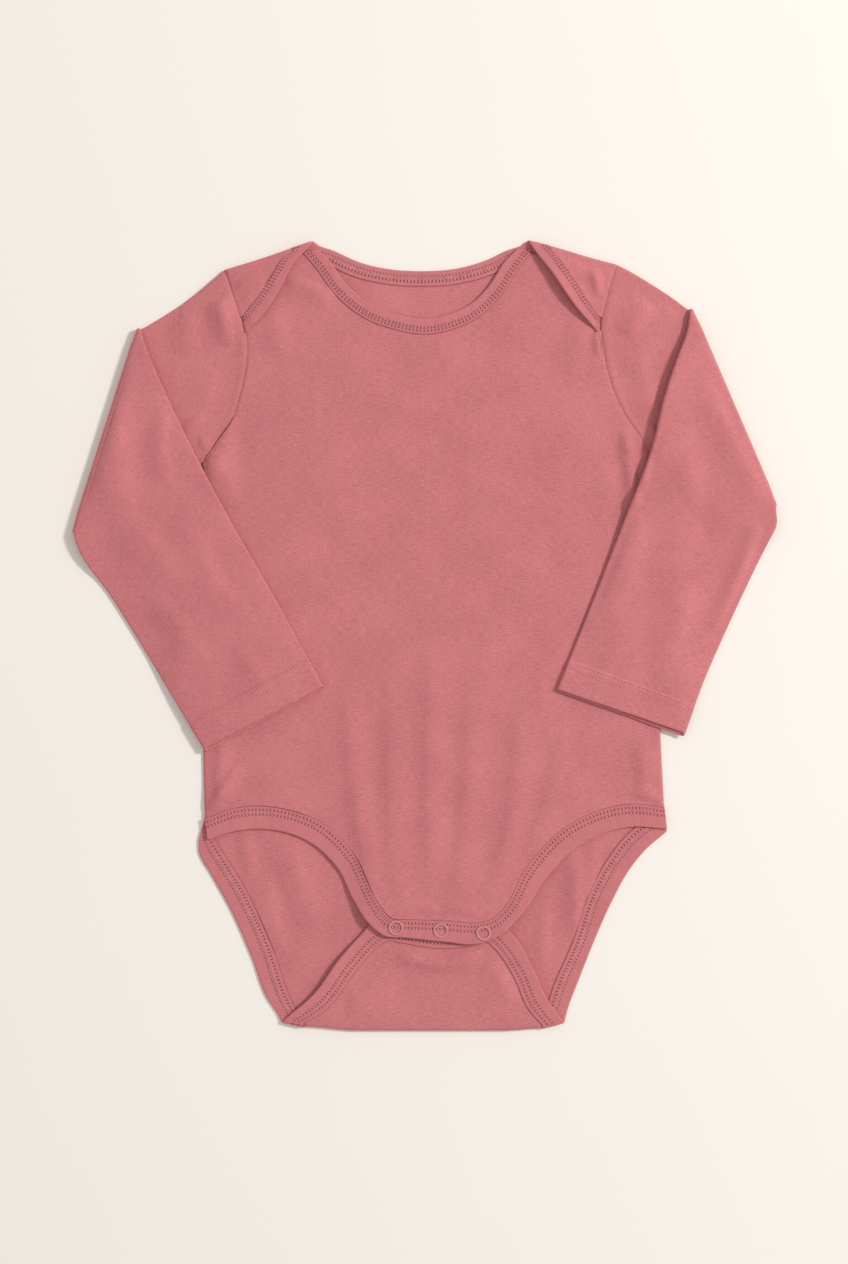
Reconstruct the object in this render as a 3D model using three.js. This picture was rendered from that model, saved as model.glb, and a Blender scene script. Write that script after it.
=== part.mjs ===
// Baby onesie laid flat: long sleeves folded inwards, lap shoulders, snap crotch folded up to the front.
// Millimetres, Z up, the back lying on z = 0, the neck towards +Y.
import * as THREE from 'three';

// Cloth and gaps
const CLOTH = 1.0;
const BINDING = 1.6;
const GAP = 0.3;
const SEAM_SHIFT = 0.25;
const STRIP_START = 0.5;
const SNAP_GAP = 0.1;
const CLOTH_HALF = CLOTH / 2;
const BINDING_HALF = BINDING / 2;

// Heights of the layers above the floor
const FRONT_UNDER = CLOTH + GAP;
const NECK_RISE = 0.6;
const CORNER_RISE = 0.7;
const CROTCH_RISE = 3.7;
const BODY_LOFT = 1.0;
const FLAP_FOLD_UNDER = 2.6;
const FLAP_BAND_UNDER = 1.9;
const SIDE_ROLL = 1.3;
const LEFT_LAP_LIFT = 0.8;
const RIGHT_LAP_LIFT = 3.4;

// Soft steps between those heights: x, y or a distance where each begins and ends
const NECK_STEP = { from: 186, to: 203 };
const NECK_END_STEP = { from: 72, to: 100 };
const LAP_STEP = { from: 74, to: 94 };
const LEG_CORNER_STEP = { from: 14, to: 30 };
const CROTCH_STEP = { from: -158, to: -116 };
const LOFT_LEFT_STEP = { from: -126, to: -70 };
const LOFT_RIGHT_STEP = { from: 78, to: 132 };
const LOFT_LOW_STEP = { from: -100, to: -40 };
const LOFT_HIGH_STEP = { from: 110, to: 170 };
const FLAP_FOLD_STEP = { from: -222, to: -200 };
const FLAP_BAND_STEP = { from: -192, to: -178 };
const LEFT_LEG_CORNER = { x: -124, y: -110 };
const RIGHT_LEG_CORNER = { x: 137, y: -104 };

// Sleeves
const HEM_HALF = 0.65;
const HEM_LENGTH = 16.5;
const CUFF_PEEK = 2.2;
const FOLD_LOFT = 1.4;
const SLEEVE_PUFF = 1.3;
const PUFF_LEFT_AT_CUFF = 0.3;
const FOREARM_SETTLE = 32;
const UNDERARM_STAND = 1.2;
const ARMPIT_RISE = 2.4;
const LIFT_PLACE = 0.25;
const LIFT_REACH = 0.2;
const UPPER_LAYER_LIFT = 0.35;
const DRAPE_STEP = { from: -34, to: -9 };
const HEAD_DOWN_STEP = { from: 0.1, to: 0.5 };
const HEAD_OUT_STEP = { from: 0, to: 0.6 };
const SHOULDER_TURN_STEP = { from: 0, to: 0.3 };
const ARMPIT_TURN_STEP = { from: 0, to: 0.2 };
const FOLD_TURN_STEP = { from: 0.6, to: 1 };
const FOREARM_TURN_STEP = { from: 0, to: 0.12 };
const LIFT_STEP = { from: 0, to: 0.08 };
const PUFF_STEP = { from: 0, to: 0.25 };
const CUFF_STEP = { from: 0.8, to: 1 };
const HEM_CHANGE = 0.004;

// Snaps
const SNAP_OUTER = 4.25;
const SNAP_INNER = 3.05;
const SNAP_HEIGHT = 0.8;
const SNAP_HIDDEN_HEIGHT = 0.6;
const STUD_RADIUS = 1.6;
const SOCKET_HOLE = 1.9;
const CAP_SIDE = 0.45;
const CAP_BEVEL = 0.25;
const CAP_DROP = 0.08;

// Mesh steps
const WELDS_PER_MM = 500;
const LINE_STEPS = 240;
const FOLD_STEPS = 6;
const TUBE_TURN_STEPS = 4;
const LAP_STEPS = 9;
const ARMHOLE_STEPS = 9;
const STRIP_STEPS = {
  backNeck: 22,
  frontNeck: 26,
  frontLeg: 42,
  backLegLeft: 14,
  flap: 26,
  backLegRight: 15,
};
const BACK_COLUMNS = { leftFold: 6, leftLeg: 2, crotch: 16, rightLeg: 4, rightFold: 7 };
const FRONT_COLUMNS = { leftFold: 7, leftLeg: 9, crotch: 7, rightLeg: 7, rightFold: 8 };
const CAP_SEGMENTS = 18;
const HIDDEN_SEGMENTS = 12;

// Side edges of the body from the leg corner up to the armpit
const LEFT_SIDE = [
  { x: -125.4, y: -104.0 },
  { x: -126.3, y: -68.1 },
  { x: -126.3, y: 20.8 },
  { x: -126.3, y: 98.5 },
];
const RIGHT_SIDE = [
  { x: 136.8, y: -97.5 },
  { x: 134.8, y: -59.0 },
  { x: 132.5, y: 20.8 },
  { x: 130.5, y: 102.7 },
];

// Armhole seams from the shoulder fold down to the armpit
const LEFT_ARMHOLE = [
  { x: -113.5, y: 207.5 },
  { x: -108.6, y: 192.7 },
  { x: -102.1, y: 173.0 },
  { x: -101.4, y: 154.8 },
  { x: -104.8, y: 137.9 },
  { x: -109.7, y: 122.8 },
  { x: -118.6, y: 109.8 },
  { x: -126.3, y: 98.5 },
];
const RIGHT_ARMHOLE = [
  { x: 109.0, y: 210.5 },
  { x: 105.2, y: 198.6 },
  { x: 100.6, y: 173.0 },
  { x: 102.3, y: 160.3 },
  { x: 106.7, y: 142.8 },
  { x: 114.0, y: 126.8 },
  { x: 122.7, y: 114.2 },
  { x: 130.5, y: 102.7 },
];

// Shoulder folds: the armhole end, then the end at the neck binding
const LEFT_SHOULDER = [
  { x: -113.5, y: 207.5 },
  { x: -75.0, y: 219.2 },
];
const RIGHT_SHOULDER = [
  { x: 109.0, y: 210.5 },
  { x: 70.5, y: 220.6 },
];

// Neck binding of the back: left lap, left fold, back neck, right fold, right lap
const LEFT_LAP = [
  { seamX: -104.1, seamY: 182.2, edgeX: -102.1, edgeY: 173.1 },
  { seamX: -99.2, seamY: 188.1, edgeX: -94.2, edgeY: 181.0 },
  { seamX: -94.2, seamY: 194.7, edgeX: -87.0, edgeY: 190.3 },
  { seamX: -86.9, seamY: 205.8, edgeX: -79.5, edgeY: 202.9 },
  { seamX: -81.8, seamY: 214.0, edgeX: -74.4, edgeY: 213.5 },
  { seamX: -75.0, seamY: 219.2, edgeX: -62.5, edgeY: 222.6 },
];
const BACK_NECK = [
  { seamX: -75.0, seamY: 219.2, edgeX: -62.5, edgeY: 222.6 },
  { seamX: -57.9, seamY: 213.2, edgeX: -53.9, edgeY: 221.0 },
  { seamX: -39.9, seamY: 205.2, edgeX: -36.8, edgeY: 213.5 },
  { seamX: -19.7, seamY: 200.8, edgeX: -18.5, edgeY: 209.5 },
  { seamX: -0.3, seamY: 199.8, edgeX: -0.3, edgeY: 208.6 },
  { seamX: 19.4, seamY: 201.3, edgeX: 18.0, edgeY: 210.0 },
  { seamX: 39.6, seamY: 207.0, edgeX: 36.2, edgeY: 215.2 },
  { seamX: 52.5, seamY: 213.4, edgeX: 47.5, edgeY: 220.6 },
  { seamX: 70.5, seamY: 220.6, edgeX: 58.0, edgeY: 223.2 },
];
const RIGHT_LAP = [
  { seamX: 70.5, seamY: 220.6, edgeX: 58.0, edgeY: 223.2 },
  { seamX: 77.6, seamY: 213.2, edgeX: 70.4, edgeY: 209.9 },
  { seamX: 84.5, seamY: 203.5, edgeX: 77.4, edgeY: 199.6 },
  { seamX: 92.5, seamY: 191.8, edgeX: 86.0, edgeY: 187.7 },
  { seamX: 99.9, seamY: 182.0, edgeX: 98.7, edgeY: 173.6 },
];

// Neck binding of the front, from the left shoulder to the right one
const FRONT_NECK = [
  { seamX: -69.3, seamY: 218.7, edgeX: -61.3, edgeY: 221.0 },
  { seamX: -61.8, seamY: 209.8, edgeX: -54.7, edgeY: 215.0 },
  { seamX: -51.6, seamY: 195.8, edgeX: -45.3, edgeY: 202.0 },
  { seamX: -35.1, seamY: 182.1, edgeX: -30.7, edgeY: 189.8 },
  { seamX: -14.5, seamY: 174.5, edgeX: -12.1, edgeY: 183.0 },
  { seamX: -1.4, seamY: 172.4, edgeX: -1.1, edgeY: 181.3 },
  { seamX: 15.1, seamY: 174.9, edgeX: 12.7, edgeY: 183.4 },
  { seamX: 29.6, seamY: 181.4, edgeX: 24.6, edgeY: 188.7 },
  { seamX: 44.2, seamY: 195.2, edgeX: 37.3, edgeY: 200.8 },
  { seamX: 52.6, seamY: 208.3, edgeX: 45.3, edgeY: 213.4 },
  { seamX: 60.4, seamY: 218.6, edgeX: 53.0, edgeY: 221.4 },
];

// Leg binding and closing band of the front, from the left side seam to the right one
const FRONT_LEG = [
  { seamX: -125.4, seamY: -104.0, edgeX: -124.0, edgeY: -116.0 },
  { seamX: -108.2, seamY: -97.8, edgeX: -106.9, edgeY: -110.9 },
  { seamX: -86.4, seamY: -97.1, edgeX: -87.2, edgeY: -110.3 },
  { seamX: -60.3, seamY: -105.2, edgeX: -67.0, edgeY: -116.6 },
  { seamX: -39.2, seamY: -125.1, edgeX: -50.4, edgeY: -131.1 },
  { seamX: -27.6, seamY: -149.5, edgeX: -39.3, edgeY: -152.2 },
  { seamX: -22.5, seamY: -156.8, edgeX: -32.5, edgeY: -162.4 },
  { seamX: -18.0, seamY: -160.5, edgeX: -22.8, edgeY: -170.3 },
  { seamX: -11.1, seamY: -160.8, edgeX: -12.3, edgeY: -171.2 },
  { seamX: 8.8, seamY: -161.5, edgeX: 8.5, edgeY: -173.3 },
  { seamX: 33.3, seamY: -162.3, edgeX: 34.5, edgeY: -173.8 },
  { seamX: 38.2, seamY: -160.5, edgeX: 42.5, edgeY: -170.3 },
  { seamX: 45.3, seamY: -153.9, edgeX: 52.4, edgeY: -161.3 },
  { seamX: 57.9, seamY: -131.6, edgeX: 69.3, edgeY: -137.9 },
  { seamX: 76.9, seamY: -110.9, edgeX: 84.6, edgeY: -122.0 },
  { seamX: 103.3, seamY: -97.8, edgeX: 106.0, edgeY: -111.0 },
  { seamX: 117.0, seamY: -95.5, edgeX: 118.3, edgeY: -108.6 },
  { seamX: 136.8, seamY: -97.5, edgeX: 138.2, edgeY: -109.7 },
];

// Leg binding of the back: left leg, left flap edge with its band, right flap edge, right leg
const BACK_LEG_LEFT = [
  { seamX: -125.7, seamY: -104.6, edgeX: -128.9, edgeY: -117.1 },
  { seamX: -120.0, seamY: -115.4, edgeX: -128.4, edgeY: -124.0 },
  { seamX: -110.3, seamY: -130.8, edgeX: -121.4, edgeY: -136.5 },
  { seamX: -99.5, seamY: -149.1, edgeX: -111.0, edgeY: -155.2 },
  { seamX: -86.9, seamY: -177.0, edgeX: -99.0, edgeY: -182.1 },
  { seamX: -76.7, seamY: -206.1, edgeX: -88.9, edgeY: -208.0 },
  { seamX: -69.3, seamY: -220.6, edgeX: -80.5, edgeY: -218.0 },
];
const FLAP_EDGE = [
  { seamX: -69.3, seamY: -220.6, edgeX: -80.5, edgeY: -218.0 },
  { seamX: -56.1, seamY: -212.7, edgeX: -65.5, edgeY: -206.0 },
  { seamX: -38.2, seamY: -189.5, edgeX: -47.6, edgeY: -182.4 },
  { seamX: -27.6, seamY: -177.9, edgeX: -37.3, edgeY: -171.0 },
  { seamX: -20.8, seamY: -173.6, edgeX: -27.2, edgeY: -161.4 },
  { seamX: -14.0, seamY: -174.6, edgeX: -13.1, edgeY: -160.9 },
  { seamX: 9.0, seamY: -177.9, edgeX: 9.5, edgeY: -163.9 },
  { seamX: 26.5, seamY: -176.6, edgeX: 27.0, edgeY: -163.3 },
  { seamX: 35.1, seamY: -174.2, edgeX: 41.5, edgeY: -161.6 },
  { seamX: 40.4, seamY: -178.6, edgeX: 50.0, edgeY: -169.4 },
  { seamX: 51.6, seamY: -195.8, edgeX: 62.7, edgeY: -190.7 },
  { seamX: 58.4, seamY: -211.5, edgeX: 70.0, edgeY: -206.6 },
  { seamX: 67.0, seamY: -221.6, edgeX: 78.6, edgeY: -218.4 },
];
const BACK_LEG_RIGHT = [
  { seamX: 67.0, seamY: -221.6, edgeX: 78.6, edgeY: -218.4 },
  { seamX: 73.2, seamY: -200.4, edgeX: 85.8, edgeY: -201.5 },
  { seamX: 84.1, seamY: -175.3, edgeX: 95.9, edgeY: -176.0 },
  { seamX: 94.7, seamY: -144.6, edgeX: 107.4, edgeY: -150.2 },
  { seamX: 103.5, seamY: -128.5, edgeX: 115.4, edgeY: -135.4 },
  { seamX: 115.8, seamY: -112.6, edgeX: 125.1, edgeY: -122.8 },
  { seamX: 136.5, seamY: -98.2, edgeX: 138.2, edgeY: -111.3 },
];

// Rows of FLAP_EDGE at the ends of the closing band, points of its seam line at the flap's two free edges,
// crotch fold and closing band ends of the front
const BAND_ROWS = { left: 4, right: 8 };
const FLAP_EDGE_POINTS = { leftEnd: 110, rightStart: 150 };
const CROTCH_FOLD = -222.9;
const CROTCH_LEFT_RISE = 2.3;
const CROTCH_RIGHT_RISE = 1.3;
const CROTCH_LEFT_STEP = { from: -69.3, to: -38 };
const CROTCH_RIGHT_STEP = { from: 45, to: 67 };
const FRONT_BAND_ENDS = { left: -20.5, right: 35.8 };

// Folded sleeves: the fold line, how hollow the edge from shoulder to fold is, the direction in which the
// armpit opens, then the silhouettes of the forearm from the fold to the cuff
const LEFT_SLEEVE = {
  side: -1,
  armhole: LEFT_ARMHOLE,
  shoulder: LEFT_SHOULDER,
  foldTop: { x: -161.6, y: 174.2 },
  foldBottom: { x: -197.5, y: 61.6 },
  hollow: 1.8,
  armpitOut: { x: -0.902, y: -0.431 },
  edgeLift: 0.6,
  inner: [
    { x: -163.9, y: 177.0 },
    { x: -148.4, y: 140.7 },
    { x: -135.9, y: 114.5 },
    { x: -112.6, y: 69.8 },
    { x: -86.4, y: 24.2 },
    { x: -57.5, y: -28.2 },
  ],
  outer: [
    { x: -200.8, y: 59.0 },
    { x: -196.6, y: 48.8 },
    { x: -177.6, y: 20.8 },
    { x: -160.5, y: -6.6 },
    { x: -143.9, y: -33.9 },
    { x: -125.7, y: -64.1 },
  ],
};
const RIGHT_SLEEVE = {
  side: 1,
  armhole: RIGHT_ARMHOLE,
  shoulder: RIGHT_SHOULDER,
  foldTop: { x: 150.6, y: 185.2 },
  foldBottom: { x: 197.4, y: 76.5 },
  hollow: -1.3,
  armpitOut: { x: 0.902, y: -0.431 },
  edgeLift: 2.6,
  inner: [
    { x: 154.2, y: 183.8 },
    { x: 146.8, y: 166.2 },
    { x: 137.3, y: 138.5 },
    { x: 129.3, y: 106.5 },
    { x: 115.4, y: 70.4 },
    { x: 96.6, y: 22.5 },
    { x: 75.5, y: -29.9 },
  ],
  outer: [
    { x: 201.2, y: 73.0 },
    { x: 200.2, y: 62.5 },
    { x: 196.4, y: 54.6 },
    { x: 183.3, y: 27.6 },
    { x: 170.7, y: 0.3 },
    { x: 158.7, y: -27.1 },
    { x: 148.5, y: -55.0 },
  ],
};

// Snap centres on the closing bands
const SNAPS = [
  { x: -16.2, y: -165.5 },
  { x: 9.3, y: -167.0 },
  { x: 33.6, y: -168.5 },
];

// Plain helpers
function mix(from, to, share) {
  return from + (to - from) * share;
}

function rise(low, high, value) {
  const share = Math.min(1, Math.max(0, (value - low) / (high - low)));
  return share * share * (3 - 2 * share);
}

function stepAt(step, value) {
  return rise(step.from, step.to, value);
}

function evenShares(count) {
  return Array.from({ length: count + 1 }, (_, i) => i / count);
}

// Length reached at every row of a table
function reachOf(rows) {
  const keys = Object.keys(rows[0]);
  const reach = [0];
  for (let i = 1; i < rows.length; i += 1) {
    const step = Math.hypot(...keys.map((key) => rows[i][key] - rows[i - 1][key]));
    reach.push(reach[i - 1] + step);
  }
  return reach;
}

// Slope of one column at a row, weighted by the lengths of the spans beside it
function slopeAt(rows, reach, key, i) {
  const before = i > 0 ? (rows[i][key] - rows[i - 1][key]) / (reach[i] - reach[i - 1]) : null;
  const after = i < rows.length - 1 ? (rows[i + 1][key] - rows[i][key]) / (reach[i + 1] - reach[i]) : null;
  if (before === null) return after;
  if (after === null) return before;
  const spanBefore = reach[i] - reach[i - 1];
  const spanAfter = reach[i + 1] - reach[i];
  return (before * spanAfter + after * spanBefore) / (spanBefore + spanAfter);
}

// All columns of a table at a share of its length, read off a smooth curve through its rows
function along(rows, share) {
  const reach = reachOf(rows);
  const target = Math.min(1, Math.max(0, share)) * reach[reach.length - 1];
  let i = 0;
  while (i < rows.length - 2 && reach[i + 1] < target) i += 1;
  const span = reach[i + 1] - reach[i];
  const t = (target - reach[i]) / span;
  const result = {};
  for (const key of Object.keys(rows[0])) {
    const start = slopeAt(rows, reach, key, i) * span;
    const end = slopeAt(rows, reach, key, i + 1) * span;
    const a = rows[i][key];
    const b = rows[i + 1][key];
    result[key] = a + t * (start + t * (3 * (b - a) - 2 * start - end + t * (2 * (a - b) + start + end)));
  }
  return result;
}

// A curve as a fine line of x and y, and its reading by either coordinate
function fineLine(rows, xKey = 'x', yKey = 'y') {
  return evenShares(LINE_STEPS).map((share) => {
    const row = along(rows, share);
    return { x: row[xKey], y: row[yKey] };
  });
}

function readLine(line, fromKey, toKey, value) {
  const forward = line[line.length - 1][fromKey] > line[0][fromKey];
  const passed = (point) => (forward ? point[fromKey] >= value : point[fromKey] <= value);
  let i = line.findIndex(passed);
  if (i < 0) i = line.length - 1;
  if (i === 0) i = 1;
  const share = (value - line[i - 1][fromKey]) / (line[i][fromKey] - line[i - 1][fromKey]);
  return mix(line[i - 1][toKey], line[i][toKey], Math.min(1, Math.max(0, share)));
}

// Unit vector across the line from one point to another, turned to the side of a third point or away from it
function outward(from, to, inside) {
  const length = Math.hypot(to.x - from.x, to.y - from.y);
  const normal = { x: -(to.y - from.y) / length, y: (to.x - from.x) / length };
  const towards = (inside.x - from.x) * normal.x + (inside.y - from.y) * normal.y;
  return towards > 0 ? { x: -normal.x, y: -normal.y } : normal;
}

// Middle surface of a cloth piece: points with half a thickness each, and rows of four-sided faces
class Cloth {
  constructor() {
    this.points = [];
    this.faces = [];
    this.known = new Map();
  }

  point(place) {
    const key = [place.x, place.y, place.z].map((value) => Math.round(value * WELDS_PER_MM)).join(' ');
    if (!this.known.has(key)) {
      this.known.set(key, this.points.length);
      this.points.push(place);
    }
    return this.known.get(key);
  }

  // Rows of places; the upper side is the one seen with the rows running up and each row running right
  grid(rows, closed = false) {
    const indices = rows.map((row) => row.map((place) => this.point(place)));
    for (let j = 1; j < indices.length; j += 1) {
      const count = indices[j].length;
      for (let i = closed ? 0 : 1; i < count; i += 1) {
        const left = (i + count - 1) % count;
        const corners = [indices[j - 1][left], indices[j - 1][i], indices[j][i], indices[j][left]];
        this.face(corners[0], corners[1], corners[2]);
        this.face(corners[0], corners[2], corners[3]);
      }
    }
  }

  face(a, b, c) {
    if (a !== b && b !== c && c !== a) this.faces.push([a, b, c]);
  }

  // Closed solid: both sides moved out from the middle surface, with a rim along every open edge
  solid() {
    const count = this.points.length;
    const normals = this.points.map(() => new THREE.Vector3());
    const place = (i) => new THREE.Vector3(this.points[i].x, this.points[i].y, this.points[i].z);
    const edges = new Map();
    for (const [a, b, c] of this.faces) {
      const normal = place(b).sub(place(a)).cross(place(c).sub(place(a)));
      [a, b, c].forEach((i) => normals[i].add(normal));
      [[a, b], [b, c], [c, a]].forEach(([from, to]) => edges.set(`${from} ${to}`, [from, to]));
    }
    const positions = [];
    for (const side of [1, -1]) {
      for (let i = 0; i < count; i += 1) {
        const moved = place(i).addScaledVector(normals[i].normalize(), side * this.points[i].half);
        positions.push(moved.x, moved.y, moved.z);
      }
    }
    const index = [];
    for (const [a, b, c] of this.faces) {
      index.push(a, b, c);
      index.push(count + a, count + c, count + b);
    }
    for (const [from, to] of edges.values()) {
      if (edges.has(`${to} ${from}`)) continue;
      index.push(from, count + from, count + to);
      index.push(from, count + to, to);
    }
    const geometry = new THREE.BufferGeometry();
    geometry.setAttribute('position', new THREE.Float32BufferAttribute(positions, 3));
    geometry.setIndex(index);
    geometry.computeVertexNormals();
    return geometry;
  }
}

// Underside of the front above the floor: higher at the neck ends, the leg corners and the crotch
function frontUnder(x, y) {
  const neck = NECK_RISE * stepAt(NECK_STEP, y) * (1 - stepAt(NECK_END_STEP, Math.abs(x)));
  const corners = [LEFT_LEG_CORNER, RIGHT_LEG_CORNER].map((corner) => {
    return 1 - stepAt(LEG_CORNER_STEP, Math.hypot(x - corner.x, y - corner.y));
  });
  const crotch = CROTCH_RISE * (1 - stepAt(CROTCH_STEP, y));
  const across = stepAt(LOFT_LEFT_STEP, x) * (1 - stepAt(LOFT_RIGHT_STEP, x));
  const loft = BODY_LOFT * across * stepAt(LOFT_LOW_STEP, y) * (1 - stepAt(LOFT_HIGH_STEP, y));
  return FRONT_UNDER + neck + CORNER_RISE * Math.max(...corners) + crotch + loft;
}

// Underside of a shoulder lap, which lies on the front and its neck binding
function lapUnder(x, y) {
  return frontUnder(x, y) + CLOTH + GAP + NECK_RISE * (1 - stepAt(LAP_STEP, Math.abs(x)));
}

// Underside of the crotch flap, from its fold up to its band
function flapUnder(y) {
  const fold = (FLAP_FOLD_UNDER - FRONT_UNDER) * (1 - stepAt(FLAP_FOLD_STEP, y));
  const band = (FLAP_BAND_UNDER - FRONT_UNDER) * stepAt(FLAP_BAND_STEP, y);
  return FRONT_UNDER + fold + band;
}

// Half turns of a point at a fold from one height to another, on the way out along a direction
function halfTurn(place, toHeight, out, steps) {
  const middle = (place.z + toHeight) / 2;
  const radius = (toHeight - place.z) / 2;
  return evenShares(steps).map((share) => {
    const angle = Math.PI * share;
    return {
      x: place.x + out.x * Math.abs(radius) * Math.sin(angle),
      y: place.y + out.y * Math.abs(radius) * Math.sin(angle),
      z: middle - radius * Math.cos(angle),
      half: place.half,
    };
  });
}

// Rows of the two body panels as shares of their height
const ARMPIT_ROW = 0.65;
const ROW_MARGIN = 0.001;
const SIDE_ROWS = [0, 0.02, 0.045, 0.075, 0.11, 0.15, 0.2, 0.28, 0.4, 0.52, 0.632];
const BACK_SIDE_ROWS = [0, 0.08, 0.2, 0.34, 0.5, 0.632];
const ARMHOLE_ROWS = evenShares(ARMHOLE_STEPS).map((share) => mix(ARMPIT_ROW, 1, share));
const FLAP_ROWS = [0.12, 0.26, 0.4, 0.56, 0.72, 0.86, 1];

function columnsThrough(stops) {
  const columns = [stops[0].at];
  for (let i = 1; i < stops.length; i += 1) {
    for (let k = 1; k <= stops[i].steps; k += 1) {
      columns.push(mix(stops[i - 1].at, stops[i].at, k / stops[i].steps));
    }
  }
  return columns;
}

// Four-sided patch between a left and a right line read by height, and a bottom and a top line read by x
function patch(frame, u, v) {
  const leftX = frame.left(mix(frame.leftBottom, frame.leftTop, v), v);
  const rightX = frame.right(mix(frame.rightBottom, frame.rightTop, v), v);
  const bottomX = mix(frame.left(frame.leftBottom, 0), frame.right(frame.rightBottom, 0), u);
  const topX = mix(frame.left(frame.leftTop, 1), frame.right(frame.rightTop, 1), u);
  return { x: mix(leftX, rightX, u), y: mix(frame.bottom(bottomX), frame.top(topX), v) };
}

const leftSideLine = fineLine(LEFT_SIDE);
const rightSideLine = fineLine(RIGHT_SIDE);
const leftArmholeLine = fineLine(LEFT_ARMHOLE);
const rightArmholeLine = fineLine(RIGHT_ARMHOLE);

// Outer edge of a body panel, drawn in by the side roll below the armpit
function bodyEdge(side, y, v) {
  const armhole = v > ARMPIT_ROW - ROW_MARGIN;
  const lines = side < 0 ? [leftSideLine, leftArmholeLine] : [rightSideLine, rightArmholeLine];
  const inset = armhole ? SEAM_SHIFT : SIDE_ROLL + CLOTH_HALF;
  return readLine(lines[armhole ? 1 : 0], 'y', 'x', y) - side * inset;
}

const bodyFrame = {
  left: (y, v) => bodyEdge(-1, y, v),
  right: (y, v) => bodyEdge(1, y, v),
  leftBottom: LEFT_SIDE[0].y,
  leftTop: LEFT_SHOULDER[0].y,
  rightBottom: RIGHT_SIDE[0].y,
  rightTop: RIGHT_SHOULDER[0].y,
};

// Back panel with its two laps and the crotch flap
const backNeckSeam = fineLine(BACK_NECK, 'seamX', 'seamY');
const backLegLeftSeam = fineLine(BACK_LEG_LEFT, 'seamX', 'seamY');
const backLegRightSeam = fineLine(BACK_LEG_RIGHT, 'seamX', 'seamY');
const flapSeam = fineLine(FLAP_EDGE, 'seamX', 'seamY');

function crotchFold(x) {
  const left = CROTCH_LEFT_RISE * (1 - stepAt(CROTCH_LEFT_STEP, x));
  return CROTCH_FOLD + left + CROTCH_RIGHT_RISE * stepAt(CROTCH_RIGHT_STEP, x);
}

function backTop(x) {
  const [leftOut, leftIn] = LEFT_SHOULDER;
  const [rightOut, rightIn] = RIGHT_SHOULDER;
  if (x <= leftIn.x) return mix(leftOut.y, leftIn.y, (x - leftOut.x) / (leftIn.x - leftOut.x));
  if (x >= rightIn.x) return mix(rightOut.y, rightIn.y, (x - rightOut.x) / (rightIn.x - rightOut.x));
  return readLine(backNeckSeam, 'x', 'y', x);
}

function backBottom(x) {
  const left = BACK_LEG_LEFT[BACK_LEG_LEFT.length - 1].seamX;
  const right = BACK_LEG_RIGHT[0].seamX;
  if (x <= left) return readLine(backLegLeftSeam, 'x', 'y', x);
  if (x >= right) return readLine(backLegRightSeam, 'x', 'y', x);
  return crotchFold(x);
}

// The back's row at the armpit still follows the side
const backFrame = {
  ...bodyFrame,
  left: (y, v) => bodyEdge(-1, y, v - 2 * ROW_MARGIN),
  right: (y, v) => bodyEdge(1, y, v - 2 * ROW_MARGIN),
  top: backTop,
  bottom: backBottom,
};

function shareOf(frame, v, x) {
  const left = v < 0.5 ? frame.left(frame.leftBottom, 0) : frame.left(frame.leftTop, 1);
  const right = v < 0.5 ? frame.right(frame.rightBottom, 0) : frame.right(frame.rightTop, 1);
  return (x - left) / (right - left);
}

function lapPanel(cloth, foldRow, shoulder, armholeLine, lap, side) {
  const out = outward(shoulder[0], shoulder[1], { x: 0, y: 0 });
  const lapTip = along(lap, side < 0 ? 0 : 1);
  const lift = side < 0 ? LEFT_LAP_LIFT : RIGHT_LAP_LIFT;
  const heightAt = (place) => lapUnder(place.x, place.y) + CLOTH_HALF;
  const turns = foldRow.map((place) => halfTurn(place, heightAt(place), out, FOLD_STEPS));
  const rows = evenShares(FOLD_STEPS).map((_, k) => turns.map((turn) => turn[k]));
  const columns = foldRow.map((place) => {
    const reach = (place.x - foldRow[0].x) / (foldRow[foldRow.length - 1].x - foldRow[0].x);
    return side < 0 ? reach : 1 - reach;
  });
  for (const w of evenShares(LAP_STEPS).slice(1)) {
    const seam = along(lap, side < 0 ? 1 - w : w);
    const outerY = mix(shoulder[0].y, lapTip.seamY, w);
    const outerX = readLine(armholeLine, 'y', 'x', outerY) - side * SEAM_SHIFT;
    rows.push(columns.map((c) => {
      const x = mix(outerX, seam.seamX, c);
      const y = mix(outerY, seam.seamY, c);
      const raised = lift * 0.5 * Math.sin(Math.PI * w) * c * c;
      return { x, y, z: heightAt({ x, y }) + raised, half: CLOTH_HALF };
    }));
  }
  cloth.grid(rows);
}

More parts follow.
